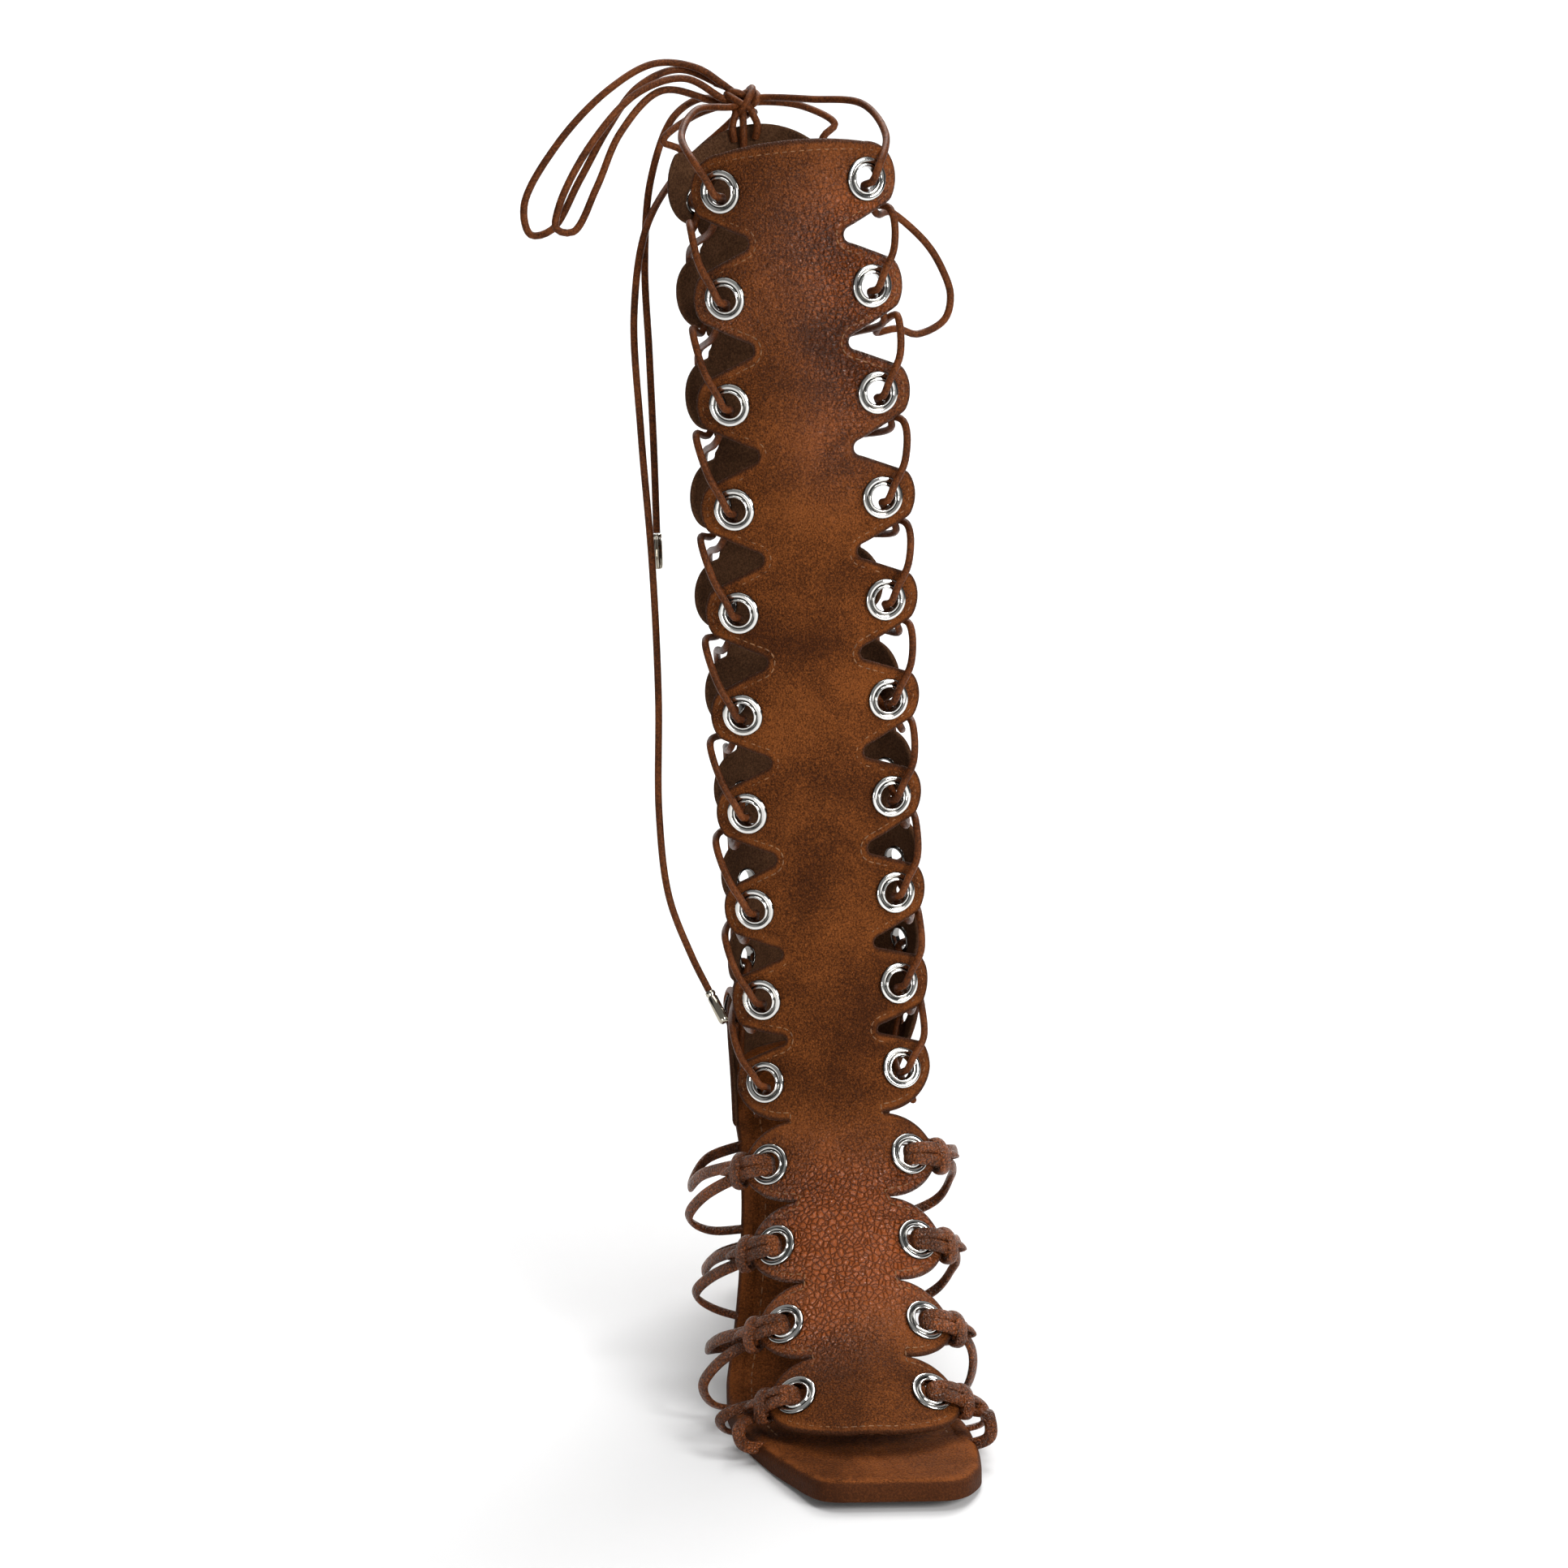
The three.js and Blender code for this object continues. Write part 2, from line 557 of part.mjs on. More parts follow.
const BOW = { x: -34.3, y: 112, z: 428.6, radius: 6 }; // the bow's knot, over the back panel's top edge
const HUG = 1; // the lace lies this far from the eyelet's centre, towards the open side
// A lace hooks round the tab above this far beyond the eyelets, and this share of a row above its own.
const HOOK = { medial: 8.8, lateral: 12.4, above: 0.69 };
// Between two eyelets it passes this share of a row from each, and this far beyond them.
const PASS = { rows: 0.34, beyond: 7 };
const LIFT = 4.4; // height of the lace over the middle of the wall, clear of the eyelet's flange

// From the bow, each end of a lace comes over the collar to the outside of its top eyelet.
const ENDS_IN = {
  medial: {
    front: [vector(-27.5, 110.5, 429.5), vector(-11.6, 98, 429.3), vector(4.9, 84, 427.7), vector(12, 68, 417.6)],
    back: [vector(-27.6, 112, 428), vector(-14, 110, 427), vector(-3.4, 105, 421)],
  },
  lateral: {
    front: [vector(-38, 106.2, 426.6), vector(-49, 92, 427), vector(-53.6, 74, 418), vector(-53.4, 63, 411.6)],
    back: [vector(-41, 110.6, 427), vector(-51, 108, 424), vector(-61, 101, 416)],
  },
};

// The medial lace has slipped out of its second rear eyelet and hangs out in a slack loop there.
const SLACK = [
  vector(14.4, 78, 392.4),
  vector(25.5, 80, 382.6),
  vector(31, 82, 374),
  vector(34, 83, 365),
  vector(32, 83, 357),
  vector(22.6, 81, 352.4),
  vector(16, 79, 354.5),
];

// One zigzag of a lace. It meets the front and the back panel by turns, a row lower each time. It
// comes over a tab from the outside, goes in through the eyelet, and leaves by the gap between panels.
function zigzag(side, entry, startsOnFront, slack, hook) {
  const frontAt = (row, beyond, out) => frontPoint(row, side * (front.eyelet(row) + beyond), out);
  const backAt = (row, beyond, out) => backPoint(row, side * (back.eyelet(row) + beyond), out);
  const gap = (row) => frontAt(row, TAB, 0).lerp(backAt(row, TAB, 0), 0.5);
  const points = [...entry];
  for (let row = 1; row <= LACED_ROWS; row++) {
    const onFront = (row % 2 === 1) === startsOnFront;
    const at = onFront ? frontAt : backAt;
    if (slack && row === 2) {
      points.push(...SLACK, gap(row + 0.5));
      continue;
    }
    if (onFront && row > 1) points.push(at(row - HOOK.above, hook, WALL / 2));
    points.push(at(row - PASS.rows, PASS.beyond, LIFT));
    const hole = onFront ? row : backEyelet(row);
    points.push(at(hole, HUG, LIFT), at(hole, HUG, -LIFT));
    points.push(at(row + PASS.rows, PASS.beyond, -LIFT));
  }
  return points;
}

function makeLaces() {
  for (const [name, side] of Object.entries(SIDES)) {
    const down = zigzag(side, ENDS_IN[name].front, true, name === "medial", HOOK[name]);
    const up = zigzag(side, ENDS_IN[name].back, false, false, HOOK[name]);
    const foot = [down[down.length - 1], up[up.length - 1]];
    const lace = bar([...down, foot[1]], LACE, 4).add(bar(up, LACE, 4));
    add(`lace_${name}`, lace, CORD);
  }
}

// Bow loops and hanging ends, each from the knot along its route.
const LOOPS = {
  bow_loop_outer: [
    vector(-40, 112, 434), vector(-49.5, 110, 440), vector(-63.5, 107, 441.5), vector(-79, 103, 433),
    vector(-96.5, 97, 415), vector(-107.5, 93, 395.5), vector(-105.5, 92, 386), vector(-98.5, 93, 387.5),
    vector(-89, 96, 403.5), vector(-79, 100, 421), vector(-69, 106, 434), vector(-55.5, 111, 439.5),
    vector(-39.5, 115.5, 433.5),
  ],
  bow_loop_inner: [
    vector(-40.5, 110, 429.5), vector(-53.5, 105, 436.5), vector(-69, 99, 432), vector(-85, 92, 415),
    vector(-95.5, 87, 395.5), vector(-96.5, 86, 388), vector(-91, 87, 387), vector(-83, 90, 401.5),
    vector(-75, 95, 419), vector(-61.5, 103, 432.5), vector(-43.5, 114, 429),
  ],
};
const ENDS = {
  short: [
    vector(-37.5, 118, 427.5), vector(-47.5, 119, 430), vector(-57.5, 115, 424), vector(-65.5, 110, 403.5),
    vector(-68, 106, 376), vector(-67, 103, 345.5), vector(-66, 101, 313), vector(-65.5, 100, 284.5),
  ],
  long: [
    vector(-34.5, 119, 425.5), vector(-40.5, 124, 420), vector(-54, 121, 408), vector(-67, 103, 388),
    vector(-71.6, 95, 360), vector(-70, 91, 320), vector(-67, 90, 275), vector(-65.6, 86, 230),
    vector(-66, 82, 190), vector(-63, 74, 163), vector(-55.5, 66, 144), vector(-49.6, 60, 133),
  ],
};
const AGLET = { radius: 1.8, length: 12 };

function makeBow() {
  const knot = new THREE.IcosahedronGeometry(BOW.radius, 1);
  knot.scale(0.9, 0.75, 0.85);
  knot.translate(BOW.x, BOW.y, BOW.z);
  add("bow_knot", solid(knot), CORD);
  for (const [name, route] of Object.entries(LOOPS)) add(name, cord(route, LACE, 28, 5), CORD);
  for (const [name, route] of Object.entries(ENDS)) {
    add(`lace_end_${name}`, cord(route, LACE, name === "long" ? 36 : 20, 5), CORD);
    const [before, tip] = route.slice(-2);
    const along = tip.clone().sub(before).normalize();
    const tube = new THREE.CylinderGeometry(AGLET.radius, AGLET.radius, AGLET.length, 8);
    tube.applyQuaternion(new THREE.Quaternion().setFromUnitVectors(vector(0, 1, 0), along));
    tube.translate(...tip.clone().addScaledVector(along, AGLET.length / 2 + GAP).toArray());
    add(`aglet_${name}`, solid(tube), NICKEL);
  }
}

makeFrontPanel();
makeBackPanel();
makeEyelets();
makeSole();
makeHeel();
makeStraps();
makeLaces();
makeBow();

export default model;
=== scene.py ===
import math

import bpy
import numpy as np
from mathutils import Matrix, Quaternion, Vector
from mathutils.geometry import delaunay_2d_cdt


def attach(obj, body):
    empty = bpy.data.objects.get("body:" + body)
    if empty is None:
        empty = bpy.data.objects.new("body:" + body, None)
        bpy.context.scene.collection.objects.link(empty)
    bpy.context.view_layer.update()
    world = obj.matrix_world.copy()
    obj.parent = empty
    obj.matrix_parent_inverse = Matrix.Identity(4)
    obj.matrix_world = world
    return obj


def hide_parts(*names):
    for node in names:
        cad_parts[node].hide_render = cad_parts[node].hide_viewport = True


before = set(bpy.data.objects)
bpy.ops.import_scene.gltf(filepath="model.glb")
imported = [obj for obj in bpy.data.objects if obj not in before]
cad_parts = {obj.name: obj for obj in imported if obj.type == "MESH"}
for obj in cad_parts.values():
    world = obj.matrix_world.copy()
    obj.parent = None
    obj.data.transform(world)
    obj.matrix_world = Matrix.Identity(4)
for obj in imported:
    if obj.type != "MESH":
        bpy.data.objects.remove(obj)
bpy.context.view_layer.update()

# A tall right-foot gladiator sandal. Shapes are worked out in millimetres and turned into metres as each
# mesh is made. +Z is up, the toe points to -Y, and the wearer's medial side is +X.
MM = 0.001

# ---------------------------------------------------------------- the maker's sizes

GAP = 0.3  # clearance between pieces that touch
WALL = 2.0  # both panels: two layers of leather
CREST_FRONT, CREST_BACK = 2.5, 7.0  # rise of each panel's top edge at its middle
LACED_ROWS, ROWS = 10, 14  # eyelet rows on the shaft, and on the whole front panel
TAB = 12.2  # a scalloped tab's tip beyond its eyelet, on the shaft
TOE_EDGE = 20.4  # the front panel's end beyond its last eyelet
SOFT_NECK, SHARP_NECK = 15.6, 14.6  # half width between two notches of the shaft, and of the foot
BACK_NECK = 1.8  # the back panel's notches end this far behind its eyelets
SHALLOWER = 14.0  # how much its notches close towards the heel counter, in one row
COUNTER_REACH = 76.0  # half length round the foot of the heel counter
SQUARER = 0.8  # the back panel's top corners are fuller than a round tab by this share
SET_LOW = 0.12  # the back eyelets sit this share of a row under the middles of their tabs
# A notch's round end on the shaft: half its opening where the rows are this pitch apart, the length of its
# round part, and how fast its flanks open out.
NOTCH = dict(opening=2.6, end=2.4, flare=0.17, pitch=34.4)
# Punched in the leather for an eyelet. The leather lies flat this far round the hole's middle, and its
# creases fade in over the next few millimetres.
HOLE = dict(radius=5.0, sides=28, flat=7.0, fade=5.0)
LACE = 1.25  # radius of the round lace
KNOT = 3.8  # the strap's knot sits this far beyond the tab's tip
OUTSOLE, FOOTBED = 1.8, 5.4
RIM = 1.5  # the footbed's wrapping hides this much of the outsole's edge
STITCH_IN = 2.7  # edge stitching runs this far inside the edge
STEP = 0.01  # of a row, for slopes
SIDES = {"medial": 1, "lateral": -1}


def table(names, *rows):
    """A table with named columns, one dictionary for each row."""
    return [dict(zip(names.split(), row)) for row in rows]


# Eyelet rows of the front panel from the top edge to the toe edge: the middle line's place, the sideways tilt
# of the row in degrees, the radius that the panel bends to, and how far out the eyelet and the tab's tip are.
FRONT = table(
    "row x y z tilt bend eyelet tip",
    (0.5, -19, 52.4, 419, 4.4, 50, 24, 36.2),
    (1, -18.4, 52.5, 402.1, 4.4, 50, 24, 36.2),
    (4, -14.4, 56.2, 298.9, 4.1, 80, 24.5, 36.8),
    (7, -11.6, 57.2, 197.1, 6.2, 72, 24.4, 36.2),
    (9, -8.5, 53.5, 133.3, 6.4, 56, 23.6, 35.8),
    (10, -7.9, 47, 106.6, 5.5, 54, 23.4, 35.4),
    (11, -6.5, 34.4, 81.9, 3.6, 53, 24, 35),
    (12, -4.8, 17.8, 59.1, 1.6, 52, 23.8, 34.8),
    (13, -2.9, -3, 39.4, 0.7, 54, 23.3, 34.2),
    (14, -0.9, -24.9, 23.4, 0.6, 58, 22, 32.6),
    (14.8, 0.8, -41, 14.4, 0.6, 58, 22, 32.6),
)
# Rows of the back panel: the rearmost line's place, the tilt, the radius of its round back, and the eyelet's
# distance round from that line. Row 11 is the foot of the heel counter.
BACK = table(
    "row x y z tilt radius eyelet",
    (0.4, -31.4, 108, 423, 4.6, 36, 21),
    (1, -30.6, 108, 402.1, 5, 36, 21),
    (3, -26.6, 109.6, 333.1, 5.2, 34, 20.6),
    (4, -24.6, 111.4, 298.9, 5.6, 36, 21.4),
    (5, -20.6, 115, 264.6, 6, 42, 24.2),
    (7, -12.4, 126, 197.1, 8.6, 43, 28),
    (9, -8.9, 142, 133, 6.6, 35.2, 33),
    (10, -9.4, 153, 108, 3.6, 33.8, 40),
    (10.6, -13.2, 156.4, 96, 1, 28.8, 54),
    (11, -14.8, 156.6, 86, 0, 26.6, 64),
)
# Stations of the sole from toe to heel: the underside's height, and its medial and lateral edges.
SOLE = table(
    "y under medial lateral",
    (-68, 3, 22, -10), (-67.2, 2.9, 25.6, -13.8), (-65, 2.6, 28.6, -16.8), (-62, 2.2, 31, -19),
    (-50, 1, 35.2, -25.2), (-38, 0.3, 35.6, -31.4), (-19, 0, 34, -39.4), (-6, 0, 30.8, -43),
    (6, 0, 25.6, -45.2), (18, 4, 20.6, -45.4), (36, 16, 15, -43), (56, 34, 11, -40.6),
    (75, 50.5, 9.6, -39.6), (94, 63.5, 10.6, -40.2), (112, 71.6, 12.6, -42), (130, 76.6, 13, -42.6),
    (144, 79.2, 9, -38.6), (153, 80.2, 0.4, -30), (158, 80.8, -9, -20.6),
)
# The heel block: its front face, where its back corners begin and end, its foot's middle and size, its lift,
# and how much it is waisted.
HEEL = dict(breast=108, corner=152, back=156.6, x=-14.8, y=130, width=45, depth=42, lift=4, waist=0.55)

# A strap's two tails: the furthest point of each one's loop, the point where it turns back under, and the
# station of the footbed where it goes in.
TAILS = table(
    "row side outer turn station",
    (11, "lateral", (-57.3, 66, 61.3), (-51.6, 82, 66), 95),
    (11, "lateral", (-57.9, 54, 54.3), (-50.8, 60, 47.4), 66.5),
    (12, "lateral", (-52.7, 44, 38.6), (-47.8, 54, 40.7), 62),
    (12, "lateral", (-55.7, 32, 35), (-49.8, 37, 27.8), 41),
    (13, "lateral", (-51.5, 18, 21), (-49.2, 26, 18), 33),
    (13, "lateral", (-53.3, 2, 14), (-50.2, 3, 7.3), 5),
    (14, "lateral", (-47.7, -20, 11.6), (-46.2, -18, 6.9), -16),
    (14, "lateral", (-41.6, -32, 12), (-40, -30.6, 6.8), -28),
    (11, "medial", (33.2, 62, 73.3), (26, 80, 71), 97),
    (11, "medial", (32.4, 54, 68.1), (28, 60, 57.6), 66.5),
    (12, "medial", (31.2, 44, 48), (24, 54, 45), 62),
    (12, "medial", (31.5, 32, 43), (26.9, 37, 34), 41),
    (13, "medial", (32.2, 18, 24), (28.5, 26, 19.5), 33),
    (13, "medial", (35.9, 2, 17.5), (32.8, 3, 10), 5),
    (14, "medial", (38, -21, 14), (38.5, -18, 8), -16),
    (14, "medial", (38.8, -32, 16), (39.4, -32, 9), -29),
)

# Soft creases and swells of the front panel: middle of each, its half length and half width, its slant in
# degrees, and its height over the leather (a trough is below).
FRONT_CREASES = table(
    "row across long wide slant height",
    (2.55, -2, 26, 5, 4, -0.35), (3.6, 6, 22, 6, -5, 0.3), (5.45, -4, 24, 6, 6, -0.3),
    (7.5, 3, 22, 6, -4, -0.35), (8.5, 0, 22, 5, 5, 0.25), (9.55, -3, 20, 4.5, 3, -0.5),
    (9.8, 4, 18, 4, -3, 0.4), (10.35, 0, 19, 4, 2, -0.6), (10.7, -2, 22, 5, -3, 0.5),
    (11.45, 3, 20, 4.5, 4, -0.4), (12.45, -2, 20, 4.5, -4, -0.4), (13.4, 5, 20, 4, 7, -0.5),
    (13.75, -2, 14, 4, 10, 0.35),
)
BACK_CREASES = table(
    "row across long wide slant height",
    (3.4, 0, 40, 7, 2, -0.4), (6.5, 4, 34, 7, -3, -0.4), (8.6, 0, 32, 6, 0, -0.6),
    (9.3, -3, 34, 5, 3, 0.5), (9.8, 2, 36, 5, -2, -0.5),
)
# Where the hide is tumbled to a coarse shiny grain, and where its stain is darker or lighter. On the front,
# some lighter patches are painted light, not stain.
FRONT_GRAIN = table(
    "row across long wide height",
    (1.6, 18, 26, 24, 1.0), (2.6, 19, 18, 18, 0.8), (3.4, 14, 18, 18, 0.45), (11.6, -6, 26, 20, 1.0),
    (12.3, 6, 30, 22, 1.0), (11.5, 26, 12, 14, 0.9), (13.2, -14, 16, 14, 0.7), (2.2, -26, 10, 12, 0.4),
)
# Front stain with painted light: the lighter patches at rows 1.1 and 2.0 on the right are a painted
# highlight, and those at rows 12.0 and 12.6 on the instep are painted light and sheen; the others are the
# stain.
FRONT_STAIN_AND_SHEEN = table(
    "row across long wide height",
    (1.0, -6, 26, 20, -0.35), (1.1, 15, 22, 10, 0.6), (2.0, 15, 22, 10, 0.5), (2.5, -2, 16, 14, -0.4),
    (3.35, 0, 20, 7, 0.3), (4.3, 4, 20, 12, 0.3), (5.3, -4, 22, 12, -0.3), (6.0, 6, 20, 14, 0.35),
    (7.6, -10, 14, 16, -0.2), (8.3, 4, 20, 14, 0.4), (9.3, 4, 24, 14, -0.25), (10.2, 6, 20, 9, -0.4),
    (10.6, -4, 16, 6, 0.3), (12.0, 4, 26, 20, 1.3), (12.6, 6, 22, 16, 0.7), (13.1, -4, 22, 12, 0.5),
    (13.9, 10, 20, 10, -0.35), (14.5, -4, 22, 8, -0.2),
)
BACK_GRAIN = table("row across long wide height", (2, 0, 40, 40, 0.6), (9.5, 0, 40, 40, 0.8))
BACK_STAIN = table(
    "row across long wide height",
    (3, 10, 30, 24, 0.3), (6, -8, 30, 24, -0.3), (9, 0, 30, 20, 0.3), (10.6, 20, 40, 9, -0.3),
)

# ---------------------------------------------------------------- tables and vectors


def column(table, along, name):
    """A smooth function through one column of a table, with no overshoot between its rows."""
    at = np.array([row[along] for row in table], float)
    value = np.array([row[name] for row in table], float)
    chord = np.diff(value) / np.diff(at)
    slope = np.zeros_like(value)
    slope[0], slope[-1] = chord[0], chord[-1]
    for i in range(1, len(at) - 1):
        if chord[i - 1] * chord[i] > 0:
            slope[i] = 2 * chord[i - 1] * chord[i] / (chord[i - 1] + chord[i])

    def read(where):
        where = np.asarray(where, float)
        i = np.clip(np.searchsorted(at, where) - 1, 0, len(at) - 2)
        width = at[i + 1] - at[i]
        k = np.clip((where - at[i]) / width, 0, 1)
        blend = k * k * (3 - 2 * k)
        lean = width * k * (1 - k) * ((1 - k) * slope[i] - k * slope[i + 1])
        return value[i] * (1 - blend) + value[i + 1] * blend + lean

    return read


def columns(table, along):
    return {name: column(table, along, name) for name in table[0] if name != along}


front, back, sole = columns(FRONT, "row"), columns(BACK, "row"), columns(SOLE, "y")


def unit(v):
    return v / np.maximum(np.linalg.norm(v, axis=-1, keepdims=True), 1e-12)


def stack(*parts):
    return np.stack(np.broadcast_arrays(*parts), axis=-1)


def circle(sides):
    return np.linspace(0, 2 * math.pi, sides, endpoint=False)


def run_along(line, power=1.0):
    """Distance along a line at each of its points."""
    steps = np.linalg.norm(np.diff(line, axis=0), axis=1)
    return np.concatenate([[0], np.cumsum(steps ** power)])


def relief(marks, along, across, spot_of):
    """Sum of soft oval swells over a panel. spot_of gives a mark's place along the panel."""
    total = np.zeros(np.broadcast(along, across).shape)
    for mark in marks:
        slant = math.radians(mark.get("slant", 0))
        du, dv = across - mark["across"], along - spot_of(mark["row"])
        u = du * math.cos(slant) + dv * math.sin(slant)
        v = dv * math.cos(slant) - du * math.sin(slant)
        total += mark["height"] * np.exp(-((u / mark["long"]) ** 2) - (v / mark["wide"]) ** 2)
    return total


# ---------------------------------------------------------------- the panels' own surfaces


def crest(height, row, pitch, share):
    up = np.clip((1 - row) * pitch / TAB, 0, 1)
    return height * up * up * np.maximum(1 - share * share, 0)


def front_middle(row):
    return stack(front["x"](row), front["y"](row), front["z"](row))


def front_pitch(row):
    row = np.clip(row, 1, ROWS)
    return np.linalg.norm(front_middle(row + STEP) - front_middle(row - STEP), axis=-1) / (2 * STEP)


def front_down(row):
    return unit(front_middle(row + STEP) - front_middle(row - STEP))


def front_point(row, across, out=0.0):
    row, across, out = np.broadcast_arrays(*(np.asarray(v, float) for v in (row, across, out)))
    tilt, bend = np.radians(front["tilt"](row)), front["bend"](row)
    down = front_down(row)
    side = stack(np.cos(tilt), np.zeros_like(tilt), np.sin(tilt))
    outward = unit(np.cross(down, side))
    angle = across / bend
    rise = crest(CREST_FRONT, row, front_pitch(1.0), across / front["eyelet"](1.0))
    sideways = (bend + out) * np.sin(angle)
    forward = (bend + out) * np.cos(angle) - bend
    return (front_middle(row) - down * rise[..., None]
            + side * sideways[..., None] + outward * forward[..., None])


def scallop(share, eyelet, neck, half_pitch):
    """Half width of a strip with a round tab about each eyelet and a round-ended notch between them."""
    rise = (1 - share) * half_pitch
    tab = eyelet + np.sqrt(np.maximum(TAB * TAB - (half_pitch - rise) ** 2, 0))
    opening = NOTCH["opening"] * (half_pitch / (NOTCH["pitch"] / 2)) ** 2
    end = NOTCH["end"] * (1 - np.sqrt(np.maximum(1 - (rise / opening) ** 2, 0)))
    flank = np.maximum(rise / opening - 1, 0) / NOTCH["flare"]
    return np.minimum(tab, neck + end + flank)


def front_half_width(row):
    tab = front["tip"](row)
    away = np.where(row < 1, 1 - row, row - ROWS) * front_pitch(row)
    top = tab - TAB + np.sqrt(np.maximum(TAB * TAB - away * away, 0))
    toe = tab * np.maximum(1 - np.clip(away / TOE_EDGE, 0, 1) ** 2, 0.004) ** 0.5
    share = 2 * np.abs(row - np.round(row))
    soft = scallop(share, tab - TAB, SOFT_NECK, front_pitch(row) / 2)
    sharp = SHARP_NECK + (tab - SHARP_NECK) * np.sqrt(1 - share ** 1.6)
    return np.where(row < 1, top, np.where(row > ROWS, toe, np.where(row < LACED_ROWS, soft, sharp)))


def slope_at(y):
    near = np.clip(y, SOLE[0]["y"] + 1, SOLE[-1]["y"] - 1)
    return np.arctan2(sole["under"](near + 1) - sole["under"](near - 1), 2)


def footbed_top(y):
    return sole["under"](y) + (OUTSOLE + FOOTBED) / np.cos(slope_at(y))


def back_pitch(row):
    row = np.clip(row, 1, LACED_ROWS)
    return (back["z"](row - STEP) - back["z"](row + STEP)) / (2 * STEP)


def back_point(row, round_, out=0.0):
    row, round_, out = np.broadcast_arrays(*(np.asarray(v, float) for v in (row, round_, out)))
    radius = back["radius"](row)
    angle = np.clip(round_ / radius, -math.pi / 2, math.pi / 2)
    straight = np.maximum(np.abs(round_) - radius * math.pi / 2, 0)
    x = (radius + out) * np.sin(angle)
    y = back["y"](row) - radius + (radius + out) * np.cos(angle) - straight
    rise = crest(CREST_BACK, row, back_pitch(1.0), round_ / back["eyelet"](1.0))
    height = back["z"](row) + x * np.tan(np.radians(back["tilt"](row))) + rise
    counter = np.clip(row - LACED_ROWS, 0, 1)
    foot = footbed_top(y) + GAP / 2
    return stack(back["x"](row) + x, y, height * (1 - counter) + foot * counter)


def back_eyelet(row):
    """Row number of a back eyelet: a little under its tab's middle, and level with it at the lowest tab."""
    return row + SET_LOW * min(max(LACED_ROWS - row, 0), 1)


def back_half_width(row):
    eyelet = back["eyelet"](np.minimum(row, LACED_ROWS))
    away = (1 - row) * back_pitch(row) * SQUARER
    top = eyelet + np.sqrt(np.maximum(TAB * TAB - away * away, 0))
    flare = np.clip(row - LACED_ROWS, 0, 1) ** 1.5
    counter = (eyelet + TAB) * (1 - flare) + COUNTER_REACH * flare
    neck = eyelet - BACK_NECK + SHALLOWER * np.maximum(row - 9, 0)
    laced = scallop(2 * np.abs(row - np.round(row)), eyelet, neck, back_pitch(row) / 2)
    laced = np.where(row > 9, np.maximum(laced, neck), laced)
    return np.where(row < 1, top, np.where(row > LACED_ROWS, counter, laced))


def on_sole(x, y, above):
    """A point at a height over the sole's underside, square to it."""
    slope = slope_at(y)
    return stack(x, y - above * np.sin(slope), sole["under"](y) + above * np.cos(slope))


def sole_point(y, above, share, inset=0.0):
    middle = (sole["medial"](y) + sole["lateral"](y)) / 2
    half = (sole["medial"](y) - sole["lateral"](y)) / 2 - inset
    return on_sole(middle + share * half, y, above)


def arc_length(middle, first, last):
    """Distance along a panel's middle line from row 1, and the row at a distance."""
    rows = np.linspace(first, last, 2401)
    run = run_along(middle(rows))
    run -= np.interp(1.0, rows, run)
    return (lambda row: np.interp(row, rows, run)), (lambda along: np.interp(along, run, rows))


# ---------------------------------------------------------------- cutting a piece from flat leather


def even_loop(loop, spacing, soften=2):
    """A closed outline with its points an equal distance apart and its corners eased."""
    closed = np.vstack([loop, loop[:1]])
    run = run_along(closed)
    keep = np.concatenate([[True], np.diff(run) > 1e-9])
    count = max(int(run[-1] / spacing), 12)
    at = np.linspace(0, run[-1], count, endpoint=False)
    even = stack(np.interp(at, run[keep], closed[keep, 0]), np.interp(at, run[keep], closed[keep, 1]))
    for _ in range(soften):
        even = (np.roll(even, 1, 0) + 2 * even + np.roll(even, -1, 0)) / 4
    x, y = even.T
    area = np.sum(x * np.roll(y, -1) - np.roll(x, -1) * y)
    return even if area > 0 else even[::-1].copy()


def inward(loop):
    along = unit(np.roll(loop, -1, 0) - np.roll(loop, 1, 0))
    return stack(-along[:, 1], along[:, 0])


def depth_inside(points, loop):
    """How far each flat point is inside a closed outline, less than nothing outside it."""
    ends = np.roll(loop, -1, 0)
    edge = ends - loop
    square = np.sum(edge * edge, axis=1)
    near, inside = np.empty(len(points)), np.empty(len(points), bool)
    for chunk in np.array_split(np.arange(len(points)), len(points) // 1000 + 1):
        x, y = points[chunk, 0][:, None], points[chunk, 1][:, None]
        dx, dy = x - loop[:, 0], y - loop[:, 1]
        t = np.clip((dx * edge[:, 0] + dy * edge[:, 1]) / square, 0, 1)
        gap = (dx - t * edge[:, 0]) ** 2 + (dy - t * edge[:, 1]) ** 2
        near[chunk] = np.sqrt(gap.min(axis=1))
        spans = (loop[:, 1] > y) != (ends[:, 1] > y)
        rise = np.where(edge[:, 1] == 0, 1e-12, edge[:, 1])
        inside[chunk] = (spans & (dx < dy * edge[:, 0] / rise)).sum(axis=1) % 2 == 1
    return np.where(inside, near, -near)


def offset_line(loop, inset, spacing):
    """The outline drawn in by a distance, as an even closed line with its loops cleaned away."""
    drawn = loop + inward(loop) * inset
    kept = drawn[depth_inside(drawn, loop) > inset * 0.97]
    return even_loop(kept, spacing, 0)


def mesh_object(name, points_mm, faces, material_of=None, materials=(), smooth=True):
    mesh = bpy.data.meshes.new(name)
    mesh.from_pydata((np.asarray(points_mm) * MM).tolist(), [], faces)
    for material in materials:
        mesh.materials.append(material)
    if material_of is not None:
        mesh.polygons.foreach_set("material_index", np.asarray(material_of, np.int32))
    mesh.polygons.foreach_set("use_smooth", np.full(len(mesh.polygons), smooth))
    mesh.validate()
    mesh.update()
    made = bpy.data.objects.new(name, mesh)
    bpy.context.scene.collection.objects.link(made)
    return made


def store(made, name, values):
    made.data.attributes.new(name, "FLOAT", "POINT").data.foreach_set(
        "value", np.asarray(values, np.float32))


